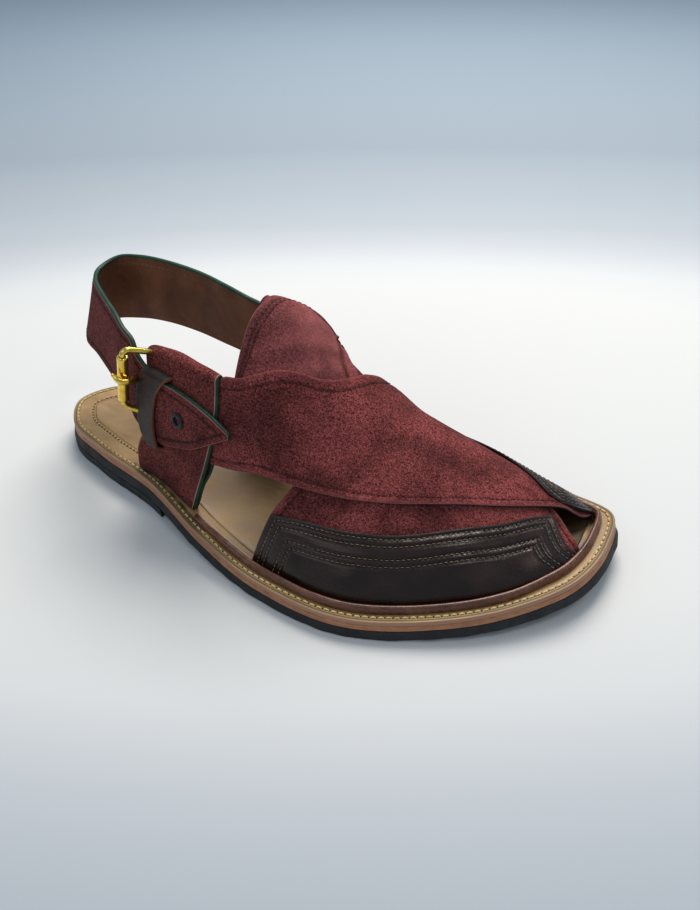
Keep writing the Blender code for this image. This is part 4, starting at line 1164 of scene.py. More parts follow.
def heel_strap_sheet(steps=260):
    """The strap between its upper and lower edge lines, as one grid."""
    middle = STRAP_TOP - STRAP_THICK / 2
    rows = [np.concatenate((on_last(xl, sl, middle), on_last(xh, sh, middle)))
            for xl, sl, xh, sh in STRAP_ON_BAND]
    rows += [np.array(row) for row in STRAP_ROUND_HEEL]
    rows += [np.concatenate((on_last(xl, sl, lift), on_last(xh, sh, lift)))
             for xl, sl, xh, sh, lift in STRAP_END]
    rows = np.array(rows)
    run = run_along((rows[:, :3] + rows[:, 3:]) / 2)
    both = smooth(run, rows, np.linspace(0, run[-1], steps))
    low, high = both[:, :3], both[:, 3:]
    width = np.linalg.norm(high - low, axis=1)
    near = np.array(NEAR)
    near = near[None] * np.minimum(1, 0.45 * width / near[-1])[:, None] / width[:, None]
    inner = near[:, -1:] + (1 - 2 * near[:, -1:]) * np.linspace(0, 1, 12)[None, 1:-1]
    v = np.hstack((near, inner, 1 - near[:, ::-1]))[..., None]
    grid = high[:, None] + (low - high)[:, None] * v
    flipped = (grid_normals(grid) * (grid - HEEL_MIDDLE)).sum() < 0
    return SimpleNamespace(back=grid[::-1] if flipped else grid, flipped=flipped)


strap = heel_strap_sheet()
print("length of the heel strap:", run_along(strap.back[:, 0]).max().round(), "mm")

# %% The strap's two faces, its seams and its lining
runs = run_along(strap.back)
strap.edge = np.minimum(runs, runs[:, -1:] - runs)
normals = grid_normals(strap.back)
# the painted upper edge is a little thicker, and the raw lower edge is thinner
thin_rim = -0.1 * np.exp(-runs / 1.2) + 0.25 * np.exp((runs - runs[:, -1:]) / 1.6)
strap_swell = 0.18 * ripple(strap.back, 20.0, 41) * (1 - np.exp(-strap.edge / 2))
half_thick = STRAP_THICK / 2 - thin_rim
strap.face = strap.back + normals * (half_thick + strap_swell)[..., None]
strap.back = strap.back - normals * (half_thick - strap_swell)[..., None]
SEAM_IN = 3.4
strap_seams = [seam(strap, SEAM_IN, 0.012, 1.0, lower, 400) for lower in (False, True)]
press(strap, strap_seams, depth=0.3)
lining_face = SimpleNamespace(face=strap.back[::-1], flipped=not strap.flipped)
lining_seams = [seam(lining_face, SEAM_IN, 0.3, 0.93, lower, 400) for lower in (False, True)]
heel_strap = sewn("heel_strap_leather", strap, [SHADED_SUEDE, LINING, GREEN_EDGE, PINK_CUT],
                  "suede", ("heel_strap",), lower=4, rim=(1.0, 0.3, 0.35, 0.3))
heel_strap.data.materials.append(RUST_CUT)
stitches("heel_strap_stitches", strap_seams, SUEDE_THREAD, pitch=2.8, length=1.8,
         width=0.4, rise=0.08)
stitches("lining_stitches", lining_seams, PALE_THREAD, pitch=2.6, length=1.4,
         width=0.3, rise=0.08)

# %% [markdown]
# ## Keeper
# A loop of plain brown leather keeps the strap's end flat. Its edges are left raw and rusty. Its
# middle surface is a short grid that rises from the band, crosses over the strap and goes down
# again; the two faces lie half a thickness either side of it.

# %% Keeper loop
KEEPER = (
    # x and s on the rear edge, then x and s on the front edge
    (83.5, -0.892, 89.0, -0.892), (78.0, -0.862, 87.0, -0.84), (76.6, -0.79, 87.8, -0.775),
    (78.2, -0.725, 91.2, -0.702), (82.6, -0.652, 98.2, -0.622),
)
KEEPER_RISE = 0.045              # the share of its length in which the loop rises over the strap
KEEPER_LEATHER = leather_finish("keeper_leather", (0.010, 0.005, 0.004), (0.021, 0.0095, 0.008),
                                (0.040, 0.020, 0.0165), roughness=0.55, pore=0.8, relief=0.12,
                                patches=9.0, coat=0.05, worn=0.4)


def keeper_sheet(rows=90, across=20):
    """The loop's middle surface, from one sewn end over the strap to the other."""
    over = STRAP_TOP + KEEPER_ROOM + KEEPER_THICK / 2
    low = STRAP_TOP - STRAP_THICK
    t = np.linspace(0, 1, rows)
    rise = np.clip(np.minimum(t, 1 - t) / KEEPER_RISE, 0, 1)
    lift = low + (over - low) * np.sin(rise * math.pi / 2)
    table = np.array(KEEPER)
    table = smooth(np.linspace(0, 1, len(table)), table, t)
    v = np.linspace(0, 1, across)
    x = table[:, :1] + (table[:, 2:3] - table[:, :1]) * v
    s = table[:, 1:2] + (table[:, 3:4] - table[:, 1:2]) * v
    grid = on_last(x, s, lift[:, None] + 0 * x)
    flipped = (grid_normals(grid) * last_normal(x, s)).sum() < 0
    return grid[::-1] if flipped else grid, flipped


grid, flipped = keeper_sheet()
normals = grid_normals(grid)
runs = run_along(grid)
keeper = SimpleNamespace(flipped=flipped, edge=np.minimum(runs, runs[:, -1:] - runs))
keeper.face = grid + normals * KEEPER_THICK / 2
keeper.back = grid - normals * KEEPER_THICK / 2
keeper.seam = SEAM_REACH + 0 * keeper.edge
sewn("strap_keeper", keeper, [KEEPER_LEATHER, FLESH, DARK_EDGE_AND_HOLE_SHADE, RUST_CUT], "dark_leather",
     ("keeper",), lip_strips=len(ROUND_RIM) - 1)

# %% [markdown]
# ## Brass buckle
# A bent brass wire carries a loose roller and a flattened prong. The wire is a round section swept
# along a path; the roller is turned on its axis like a bead, which keeps its highlights straight.

# %% Brass
def brass_finish():
    """Polished brass with hairline scratches and duller, browner patches."""
    made, tree, shader = start_finish("polished_brass", 0.2)
    place = millimetres(tree)
    patches = grain(tree, place, 3.0, 3.0, 0.6, 0.4)
    hairs = grain(tree, millimetres(tree, (1.0, 1.0, 0.12)), 0.25, 2.0, 0.6)
    colour = colours(tree, patches, (0.3, (0.62, 0.40, 0.06)), (0.5, (0.80, 0.56, 0.10)),
                     (0.7, (0.90, 0.68, 0.16)))
    rough = spread(tree, sums(tree, "ADD", patches, sums(tree, "MULTIPLY", hairs, 0.5)), 0.5, 1.0,
                   0.24, 0.12)
    finish_with(tree, shader, colour, hairs, 0.003, rough)
    shader.inputs["Metallic"].default_value = 1.0
    return made


BRASS = brass_finish()

# %% A rod swept along a path
WIRE_SIDES = 20


def wire(name, path, radius, finish, stands_for, closed=False, flat=None,
         sides=WIRE_SIDES):
    """A rod swept along a path; flat gives a squeeze along the normal for each point."""
    path = np.array(path, float)
    ahead = (np.roll(path, -1, axis=0) - np.roll(path, 1, axis=0) if closed
             else np.gradient(path, axis=0))
    ahead = unit(ahead)
    middle = path.mean(axis=0)
    plane = unit(np.cross(path[0] - middle, path[len(path) // 3] - middle))
    across = unit(plane - (ahead @ plane)[:, None] * ahead)
    third = np.cross(ahead, across)
    radius = np.broadcast_to(np.asarray(radius, float), len(path))
    flat = np.ones(len(path)) if flat is None else np.asarray(flat, float)
    turn = np.linspace(0, 2 * math.pi, sides, endpoint=False)
    rings = (path[:, None] + across[:, None] * (radius[:, None] * np.cos(turn))[..., None]
             + third[:, None] * ((radius * flat)[:, None] * np.sin(turn))[..., None])
    count = len(path)
    faces = [(k * sides + b, (k + 1) % count * sides + b, (k + 1) % count * sides + (b + 1) % sides,
              k * sides + (b + 1) % sides)
             for k in range(count if closed else count - 1) for b in range(sides)]
    faces = [face[::-1] for face in faces]
    if not closed:
        faces.append(tuple(range(sides))[::-1])
        faces.append(tuple((count - 1) * sides + b for b in range(sides)))
    return new_piece(name, rings, faces, [finish], stands_for)


print("sides of a wire:", WIRE_SIDES)

# %% Turned rings and bent loops
def turned(name, centre, axis, profile, finish, stands_for, sides=48):
    """A closed ring turned round an axis from (radius, height) rows."""
    axis = unit(np.array(axis, float))
    across = unit(np.cross(axis, (0.3, 1.0, 0.2)))
    third = np.cross(axis, across)
    turn = np.linspace(0, 2 * math.pi, sides, endpoint=False)[:, None]
    circle = across * np.cos(turn) + third * np.sin(turn)
    rings = [centre + axis * height + circle * radius for radius, height in profile]
    count = len(rings)
    faces = [(k * sides + b, k * sides + (b + 1) % sides,
              (k + 1) % count * sides + (b + 1) % sides, (k + 1) % count * sides + b)
             for k in range(count) for b in range(sides)]
    return new_piece(name, np.vstack(rings), faces, [finish], stands_for)


def rounded_loop(corners, radius, steps=9):
    """A closed path through corners, each turned with a rounded bend."""
    corners = np.array(corners, float)
    path = []
    for k, corner in enumerate(corners):
        following = corners[(k + 1) % len(corners)]
        before = unit(corners[k - 1] - corner) * radius
        after = unit(following - corner) * radius
        path += [corner + before * (1 - t) ** 2 + after * t ** 2
                 for t in np.linspace(0, 1, steps)]
        ahead = following + unit(corner - following) * radius
        path += [corner + after + (ahead - corner - after) * t for t in (0.25, 0.5, 0.75)]
    return np.array(path)


print("points round a loop with four bends:", len(rounded_loop(np.eye(4, 3), 0.1)))

# %% Buckle frame and roller
ROD_RADIUS, ROLLER_RADIUS, CORNER = 1.4, 2.5, 4.0
ROLLER = np.array(((70.9, -34.8, 57.5), (76.9, -34.8, 89.0)))
FIXED_BAR = np.array((on_last(80.0, -0.82, 4.0), on_last(85.0, -0.60, 4.0)))
wire("brass_frame", rounded_loop((ROLLER[0], ROLLER[1], FIXED_BAR[1], FIXED_BAR[0]), CORNER),
     ROD_RADIUS, BRASS, ("buckle_frame",), closed=True)
axis = ROLLER[1] - ROLLER[0]
reach = np.linalg.norm(axis) / 2 - CORNER
bore = ROD_RADIUS + GAP
turned("brass_roller", ROLLER.mean(axis=0), axis,
       ((bore, -reach), (ROLLER_RADIUS - 0.5, -reach), (ROLLER_RADIUS - 0.12, -reach + 0.15),
        (ROLLER_RADIUS, -reach + 0.5), (ROLLER_RADIUS - 0.08, -reach + 1.4),
        (ROLLER_RADIUS - 0.08, reach - 1.4), (ROLLER_RADIUS, reach - 0.5),
        (ROLLER_RADIUS - 0.12, reach - 0.15), (ROLLER_RADIUS - 0.5, reach), (bore, reach)),
       BRASS, ("buckle_roller",))

# %% Prong
PRONG_RADIUS = 1.6
PRONG = np.array((
    (76.7, -25.9, 70.0), (75.8, -29.5, 70.5), (77.4, -32.2, 71.3), (78.2, -34.8, 72.6),
    (77.9, -37.0, 73.7), (76.2, -38.9, 74.7), (72.6, -39.6, 77.8),
))
share = np.linspace(0, 1, 40)
knot_run = run_along(PRONG)
prong_path = smooth(knot_run, PRONG, np.linspace(0, knot_run[-1], len(share)))
tip_taper = 1 - 0.45 * ease(share, 0.8, 1.0)
wire("brass_prong", prong_path, PRONG_RADIUS * tip_taper, BRASS, ("buckle_prong",),
     flat=1 - 0.25 * bump_at(share, 0.7, 0.3))

# %% [markdown]
# ## Eyelet
# A black-painted eyelet is pressed into the strap's point. It is turned like the roller, from one
# profile, and its tube is closed at the bottom by a black disc, painted shade that makes the hole
# look deep and dark. The strap has to be open there too: a short drill takes the hole out with a
# Boolean, and the result becomes the strap's mesh.

# %% Eyelet
EYELET_AT, EYELET_BORE, EYELET_RADIUS = (103.8, -0.73), 1.8, 3.9
EYELET_PAINT = leather_finish("black_eyelet_paint", (0.004, 0.005, 0.007), (0.008, 0.010, 0.014),
                              (0.016, 0.020, 0.027), roughness=0.45, pore=0.5, relief=0.05)
eyelet_centre = on_last(*EYELET_AT, STRAP_TOP)
eyelet_normal = last_normal(*np.array(EYELET_AT))
turned("black_eyelet", eyelet_centre, eyelet_normal,
       # the first rows close the tube below: a black disc painted as the shade deep in the hole
       ((0.05, 0.2 - STRAP_THICK), (0.05, -STRAP_THICK), (EYELET_BORE + 0.6, -STRAP_THICK),
        (EYELET_BORE + 0.6, GAP), (EYELET_RADIUS - 0.2, GAP - 0.2), (EYELET_RADIUS, GAP + 0.15),
        (EYELET_RADIUS - 0.4, GAP + 0.5), (EYELET_RADIUS - 1.3, GAP + 0.8),
        (EYELET_BORE + 0.5, GAP + 0.75), (EYELET_BORE + 0.1, GAP + 0.35), (EYELET_BORE, GAP - 0.3),
        (EYELET_BORE, 0.2 - STRAP_THICK)),
       EYELET_PAINT, ("eyelet",))

# %% The eyelet's hole through the strap
DRILL_SIDES, DRILL_RADIUS, DRILL_ENDS = 32, 2.75, (-4.0, 3.0)
turn = np.linspace(0, 2 * math.pi, DRILL_SIDES, endpoint=False)[:, None]
across = unit(np.cross(eyelet_normal, (0.3, 1.0, 0.2)))
circle = across * np.cos(turn) + np.cross(eyelet_normal, across) * np.sin(turn)
circle = circle * DRILL_RADIUS
drill_points = np.vstack([(eyelet_centre + circle + eyelet_normal * height + SHIFT) * MM
                          for height in DRILL_ENDS])
caps = [tuple(range(DRILL_SIDES)), tuple(range(2 * DRILL_SIDES - 1, DRILL_SIDES - 1, -1))]
walls = [(k, k + DRILL_SIDES, (k + 1) % DRILL_SIDES + DRILL_SIDES, (k + 1) % DRILL_SIDES)
         for k in range(DRILL_SIDES)]
drill_mesh = bpy.data.meshes.new("drill")
drill_mesh.from_pydata(drill_points.tolist(), [], caps + walls)
drill = bpy.data.objects.new("drill", drill_mesh)
bpy.context.scene.collection.objects.link(drill)
cut = heel_strap.modifiers.new("hole", "BOOLEAN")
cut.operation, cut.object, cut.solver = "DIFFERENCE", drill, "EXACT"
bpy.context.view_layer.update()
punched = bpy.data.meshes.new_from_object(
    heel_strap.evaluated_get(bpy.context.evaluated_depsgraph_get()))
heel_strap.modifiers.clear()
heel_strap.data = punched
bpy.data.objects.remove(drill)
print("strap with its hole, faces:", len(punched.polygons))

# %% [markdown]
# ## The sole, layer by layer
# From the top: a tan insole, the welt that is stitched all round, a midsole of pink-brown leather
# and a black rubber outsole with a heel block. Each layer follows the same outline moved in by its
# own small distance, so one loop function makes them all; their edges are then given the small
# roundings, grooves and cuts that a trimming knife leaves.

# %% Loops round the sole
def sole_loop(inset, depth, last=None, steps=170):
    """Closed edge of a sole layer: lateral side to the toe, then the medial side back."""
    start, end = ends(inset)
    turn = np.linspace(0, math.pi, steps)
    if last is not None:
        end, turn = last, turn / 2
    x = start + (end - start) * (1 - np.cos(turn)) / (1 - math.cos(turn[-1]))
    sides = [sole_points(x, edge_y(x, inset, side), depth(x) if callable(depth) else depth)
             for side in (LATERAL, MEDIAL)]
    return np.vstack((sides[0], sides[1][::-1]))


def loop_faces(loops, closed=False):
    """Faces between loops of equal length, from the lowest loop up."""
    count = len(loops[0])
    return [(k * count + i, k * count + (i + 1) % count,
             (k + 1) % len(loops) * count + (i + 1) % count, (k + 1) % len(loops) * count + i)
            for k in range(len(loops) if closed else len(loops) - 1) for i in range(count)]


SPINE_FROM, SPINE_TO, SPINE_Y = 60, 220, -2.0


def jitter(loops, amount, size, seed):
    """Trim loops a little towards the sole's spine, unevenly, as a knife does."""
    made = []
    for loop in loops:
        middle = np.array((np.clip(loop[:, 0], SPINE_FROM, SPINE_TO),
                           np.full(len(loop), SPINE_Y), loop[:, 2])).T
        out = unit(loop - middle)
        knife = ripple(loop * (1.0, 1.0, 0.15), size, seed)
        made.append(loop - out * (amount * (0.5 + 0.5 * knife))[:, None])
    return made


def filled(x, s, height, low_y, high_y):
    """A grid between the sole's sides; s runs from the lateral (0) to the medial side (1)."""
    y = low_y[:, None] + (high_y - low_y)[:, None] * s
    return np.stack((x[:, None] + 0 * y, y, height(x[:, None] + 0 * y, y)), axis=-1)


print("points round the sole:", len(sole_loop(0.0, 0.0)))

# %% [markdown]
# ### Insole and welt
# The top of the sole is smooth vegetable-tanned leather, golden with darker streaks; under the toe
# straps it is painted darker as shade, and beside the lateral band the welt is darkened by glue and
# painted shade. A row of golden stitches follows the rim, and at the heel a second, finer row goes
# round inside it. Each thread comes up through a small awl hole, and flat dark discs between the
# stitches are painted shade inside those holes. The welt is a ring, swept from one section that
# has a fine groove near the rim and a shallow dip under each row.

# %% Tan leather and golden thread
def tan_leather(name, dark, middle, light):
    """Smooth tan leather that reads from the mesh its seams, its side, and under "hole" the painted
    shade and glue that darken it.
    """
    made, tree, shader = start_finish(name, 0.5)
    place = millimetres(tree)
    pores = grain(tree, place, 0.45, 3.0, 0.6)
    streak = grain(tree, millimetres(tree, (0.35, 1.0, 1.0)), 7.0, 4.0, 0.6, 0.8)
    wide = grain(tree, place, 30.0, 2.0, 0.5)
    value = sums(tree, "MULTIPLY_ADD", streak, 0.5, sums(tree, "MULTIPLY", wide, 0.5))
    colour = colours(tree, value, (0.36, dark), (0.5, middle), (0.64, light))
    fleck = spread(tree, pores, 0.3, 0.5, 0.35, 0.0)
    colour = blend(tree, fleck, colour, tuple(0.6 * c for c in dark))
    # the stored "hole" value is no hole: it paints shade under the toe, and glue with shade beside
    # the band
    hole = spread(tree, stored(tree, "hole"), 0.35, 0.95, 0.9, 0.0)
    colour = blend(tree, hole, colour, (0.020, 0.010, 0.004))
    groove = spread(tree, stored(tree, "seam"), 0.15, 0.8, 0.75, 0.0)
    colour = blend(tree, groove, colour, (0.060, 0.033, 0.014))
    side = spread(tree, stored(tree, "side"), 0.0, 0.5, 0.0, 1.0)
    colour = blend(tree, side, colour, (0.34, 0.160, 0.092))
    rough = spread(tree, streak, 0.35, 0.65, 0.42, 0.6)
    finish_with(tree, shader, colour, pores, 0.05, rough)
    shader.inputs["Coat Weight"].default_value = 0.12
    shader.inputs["Coat Roughness"].default_value = 0.3
    return made


TAN = tan_leather("tan_leather", (0.240, 0.130, 0.044), (0.340, 0.194, 0.070),
                  (0.430, 0.262, 0.102))
GOLDEN_THREAD = leather_finish("golden_thread", (0.42, 0.26, 0.08), (0.62, 0.43, 0.17),
                               (0.78, 0.60, 0.30), roughness=0.65, pore=0.35, relief=0.15)

# %% Welt
WELT_GROOVE, WELT_SEAM, HEEL_SEAM = 2.75, 4.15, 11.7
WELT_PROFILE = (
    # how far in from the outline, and the depth below the top face
    (WELT_EDGE, WELT_DEPTH), (WELT_EDGE, 1.2), (WELT_EDGE, 0.45), (1.65, 0.12), (2.0, 0.0),
    (2.45, 0.0), (2.65, 0.22), (2.85, 0.22), (3.05, 0.02), (3.4, 0.0), (3.7, 0.12),
    (WELT_SEAM, 0.26), (4.6, 0.12), (4.9, 0.0), (5.4, 0.0), (6.2, 0.0), (7.6, 0.0), (9.2, 0.0),
    (10.4, 0.0), (10.9, 0.03), (11.3, 0.12), (HEEL_SEAM, 0.2), (12.1, 0.12), (12.5, 0.03),
    (12.9, 0.0), (WELT_IN, 0.12), (WELT_IN, WELT_DEPTH),
)
welt_loops = [sole_loop(*row, steps=190) for row in WELT_PROFILE]
welt = new_piece("stitched_welt", np.vstack(welt_loops), loop_faces(welt_loops, closed=True),
                 [TAN], ("welt",), crease=60)
count = len(welt_loops[0])
insets = np.repeat([row[0] for row in WELT_PROFILE], count)
depths = np.repeat([row[1] for row in WELT_PROFILE], count)
mark(welt, "seam", np.abs(insets - WELT_GROOVE))
mark(welt, "side", np.where(insets < WELT_EDGE + 0.1, np.clip(depths * 2, 0, 1), 0))
welt_path = sole_loop(WELT_SEAM, 0.2, steps=420)
welt_path = np.vstack((welt_path, welt_path[:1]))
upright_all = np.repeat([[0.0, 0.0, 1.0]], len(welt_path), axis=0)
stitches("welt_stitches", [(welt_path, upright_all)], GOLDEN_THREAD, pitch=3.3,
         length=2.9, width=1.0, rise=0.42, steps=7)

# %% Golden heel stitches and awl holes
HEEL_ROW_END, HEEL_ROW_STEPS = 104.0, 200
heel_row = sole_loop(HEEL_SEAM, 0.1, last=HEEL_ROW_END, steps=HEEL_ROW_STEPS)
heel_row = np.roll(heel_row, HEEL_ROW_STEPS, axis=0)
upright = np.repeat([[0.0, 0.0, 1.0]], len(heel_row), axis=0)
stitches("heel_stitches", [(heel_row, upright)], GOLDEN_THREAD, pitch=2.6,
         length=1.45, width=0.85, rise=0.32, steps=6)
# flat dark discs at the stitch ends: painted shade inside the awl holes
stitches("heel_awl_hole_shade", [(heel_row, upright)], DARK_EDGE_AND_HOLE_SHADE,
         pitch=2.6, length=1.25, width=1.15, rise=0.0, sides=10, tall=0.2, first=1.0)
stitches("welt_awl_hole_shade", [(welt_path + (0, 0, 0.08), upright_all)], DARK_EDGE_AND_HOLE_SHADE,
         pitch=3.3, length=0.8, width=0.8, rise=0.0, sides=8, tall=0.25, first=1.0)

# %% Where glue and painted shade darken the welt
UNDARKENED = 3.0                      # with this value stored under "hole", the leather isn't darkened
points = np.vstack(welt_loops)
along, sideways = points[:, 0], points[:, 1]
# beside the lateral band: glue and painted shade in the crease; under the toe: painted shade
beside_band = ((insets > 3.3) & (insets < 7.0) & (along > 62) & (along < 120)
               & (sideways < 0))
under_toe = (insets > 8.6) & (along > 248)
glue_and_shade_blotches = 0.5 + 0.25 * ripple(points, 5.0, 62)
mark(welt, "hole", np.where(beside_band | under_toe, glue_and_shade_blotches, UNDARKENED))
print("welt points darkened beside the band:", int(beside_band.sum()))

# %% Insole
def insole_top(x, y):
    """The insole's top: level with the welt at its rim, a little dished under the foot."""
    rim = np.minimum(y - edge_y(x, INSOLE_EDGE, LATERAL), edge_y(x, INSOLE_EDGE, MEDIAL) - y)
    inside = ease(rim, 0.0, 14.0)
    heel_cup = bump_at(x, 40.0, 32.0) * 0.9
    wave = 0.16 * ripple(np.stack((x, y, 0 * x), axis=-1), 34.0, 61)
    return rim_height(x) - inside * (0.35 + heel_cup) + inside * wave - 0.15 * (rim < 0.05)


start, end = ends(INSOLE_EDGE)
x = start + (end - start) * (1 - np.cos(np.linspace(0, math.pi, 170))) / 2
low_y, high_y = edge_y(x, INSOLE_EDGE, LATERAL), edge_y(x, INSOLE_EDGE, MEDIAL)
s = np.concatenate(((0, 0.012, 0.04), np.linspace(0.08, 0.92, 36), (0.96, 0.988, 1.0)))
top = filled(x, s, insole_top, low_y, high_y)
bottom = top.copy()
bottom[..., 2] = rim_height(bottom[..., 0]) - WELT_DEPTH
insole = leather("insole_leather", top, bottom, [TAN, FLESH, TAN, TAN], "tan_leather",
                 ("insole",), rim=0.2)
mark(insole, "seam", np.full(len(insole.data.vertices), SEAM_REACH))
places = np.vstack((top.reshape(-1, 3), bottom.reshape(-1, 3)))
toe_painted_shade = np.full(len(insole.data.vertices), UNDARKENED)
# painted shade on the insole under the toe straps
toe_painted_shade[:len(places)] = UNDARKENED - 2.55 * ease(places[:, 0], 246.0, 262.0)
mark(insole, "hole", toe_painted_shade)

# %% [markdown]
# ### Rand
# A rounded strip of red-brown leather runs round the forefoot, between the welt and the straps,
# and hides where they go in. Its half-round section is repeated along the edge line, sinks at both
# ends and is drawn in a little at the toe. The last few lines of the section close it below.

# %% The rand's edge line
RAND_LEATHER = leather_finish("rand_leather", (0.055, 0.018, 0.009), (0.115, 0.040, 0.020),
                              (0.195, 0.076, 0.040), roughness=0.32, pore=1.2, relief=0.12,
                              patches=10.0, coat=0.35, stretch=(0.35, 1, 1))


def rand_loop(inset, height, steps=170):
    """The forefoot's edge line, from the lateral band round the toe to the medial band."""
    end = ends(inset)[1]
    turn = np.sin(np.linspace(0, math.pi / 2, steps))
    lateral_x = RAND_FROM + (end - RAND_FROM) * turn
    medial_x = (RAND_TO + (end - RAND_TO) * turn)[::-1]
    return np.vstack([sole_points(x, edge_y(x, inset, side), -height)
                      for x, side in ((lateral_x, LATERAL), (medial_x, MEDIAL))])


print("points along the rand:", len(rand_loop(RAND_OUT, GAP)))

# %% The rand's section, its ends and its toe
ARC_POINTS = 15
middle, half = (RAND_OUT + RAND_IN) / 2, (RAND_IN - RAND_OUT) / 2
turn = np.linspace(0, math.pi, ARC_POINTS)
rand_loops = [rand_loop(middle + half * math.cos(a),
                        GAP + (RAND_HEIGHT - 0.05) * max(math.sin(a), 0.0) ** 0.62) for a in turn]
TOE_CENTRE, TOE_DRAW = np.array((245.0, 16.0)), 1.5
step = np.arange(len(rand_loops[0]))
rand_ends = 0.35 + 0.65 * np.minimum(ease(step, 0, 14), ease(step[::-1], 0, 14))
for loop in rand_loops:
    ground = rim_height(loop[:, 0]) + GAP
    loop[:, 2] = ground + (loop[:, 2] - ground) * rand_ends
rand_loops += [rand_loop(middle + half * share, GAP) for share in (-0.5, 0.0, 0.5)]
for loop in rand_loops:
    draw = TOE_DRAW * ease(loop[:, :1], 255.0, 270.0)
    loop[:, :2] -= unit(loop[:, :2] - TOE_CENTRE) * draw
print("loops in the rand's section:", len(rand_loops))

# %% The rand's skin
points = np.array(rand_loops)
section, count = points.shape[:2]
sway = 0.16 * ripple(points, 14.0, 71)
sway[0] = 0
sway[ARC_POINTS - 1:] = 0
points[..., 2] += np.minimum(sway, 0.05)
faces = [(k * count + i, (k + 1) % section * count + i, (k + 1) % section * count + i + 1,
          k * count + i + 1) for k in range(section) for i in range(count - 1)]
faces.append(tuple(k * count for k in range(section))[::-1])
faces.append(tuple(k * count + count - 1 for k in range(section)))
new_piece("rand_strip", points, faces, [RAND_LEATHER], ("rand",))

# %% [markdown]
# ### Midsole, outsole and heel
# The midsole's edge shows the fibres of pressed leather as fine level lines. The rubber was cut
# from a sheet and trimmed by knife, so its side is matt, speckled and not quite even. All three are
# slabs: a stack of loops for the edge, and a filled loop below and above. Underneath, shallow ribs
# make the tread.

# %% Pressed leather and rubber
def layered_leather():
    """Pink-brown leather edge with level fibres."""
    made, tree, shader = start_finish("layered_midsole", 0.7)
    fibres = grain(tree, millimetres(tree, (0.12, 0.12, 1.0)), 0.5, 4.0, 0.65)
    wide = grain(tree, millimetres(tree), 12.0, 3.0, 0.6)
    value = sums(tree, "MULTIPLY_ADD", fibres, 0.6, sums(tree, "MULTIPLY", wide, 0.4))
    colour = colours(tree, value, (0.36, (0.240, 0.088, 0.038)), (0.5, (0.370, 0.152, 0.070)),
                     (0.64, (0.475, 0.222, 0.108)))
    finish_with(tree, shader, colour, fibres, 0.2)
    return made


def cut_rubber():
    """Black rubber with a matt, speckled cut."""
    made, tree, shader = start_finish("cut_rubber", 0.75)
    place = millimetres(tree)
    speck = grain(tree, place, 0.9, 4.0, 0.75)
    wide = grain(tree, place, 9.0, 3.0, 0.6)
    value = sums(tree, "MULTIPLY_ADD", speck, 0.6, sums(tree, "MULTIPLY", wide, 0.4))
    colour = colours(tree, value, (0.36, (0.005, 0.005, 0.0055)), (0.52, (0.009, 0.009, 0.0095)),
                     (0.68, (0.028, 0.028, 0.029)))
    rough = spread(tree, wide, 0.3, 0.7, 0.6, 0.9)
    finish_with(tree, shader, colour, speck, 0.45, rough)
    return made


LAYERED, RUBBER = layered_leather(), cut_rubber()

# %% Levels in the rubber
def outsole_bottom(x):
    """Depth of the outsole's underside below the top face."""
    return FOREFOOT_TOP + 1.0 * (1 - ease(x, 105.0, EASE_TO))


def heel_top(x):
    """Depth of the heel block's top below the top face."""
    return outsole_bottom(x) + GAP


def deeper(level, drop):
    """A level that lies lower by a drop, or higher by a negative one."""
    return lambda x: level(x) + drop


def tread_relief(place, t):
    """Shallow ribs across the tread, fading out at its rim."""
    ribs = 0.5 + 0.5 * math.tanh(4 * math.sin(place[0] * 2 * math.pi / 7.0
                                              + 0.5 * math.sin(place[1] / 9.0)))
    inside = min(t, 1 - t)
    return ribs * min(1.0, max(0.0, 14 * (inside - 0.12)))


print("depth of the outsole at heel and toe:", outsole_bottom(0.0), outsole_bottom(286.0))

# %% Slabs with a shaped edge
ACROSS = 22                      # points across a slab's filled faces


def slab(name, profile, finish, stands_for, wobble, last=None, steps=170, tread=0.0):
    """A sole layer from a profile of (inset, depth) rows, bottom first, closed above and below.

    wobble says how unevenly the edge is trimmed: by how much, how often and a seed.
    """
    loops = jitter([sole_loop(inset, depth, last, steps) for inset, depth in profile], *wobble)
    count, level = len(loops[0]), len(loops) - 1
    points, faces = list(np.vstack(loops)), loop_faces(loops)
    for loop, upward in ((0, False), (level, True)):
        columns = []
        for i in range(count // 2):
            a, b = loop * count + i, loop * count + count - 1 - i
            row = [a]
            for t in np.linspace(0, 1, ACROSS)[1:-1]:
                place = points[a] * (1 - t) + points[b] * t
                if tread and not upward:
                    place = place + (0, 0, tread * tread_relief(place, t))
                row.append(len(points))
                points.append(place)
            columns.append(row + [b])
        for left, right in zip(columns[:-1], columns[1:]):
            for j in range(ACROSS - 1):
                face = (left[j], right[j], right[j + 1], left[j + 1])
                faces.append(face if upward else face[::-1])
    return new_piece(name, np.array(points), faces, [finish], stands_for, crease=75)


print("points across a slab:", ACROSS)

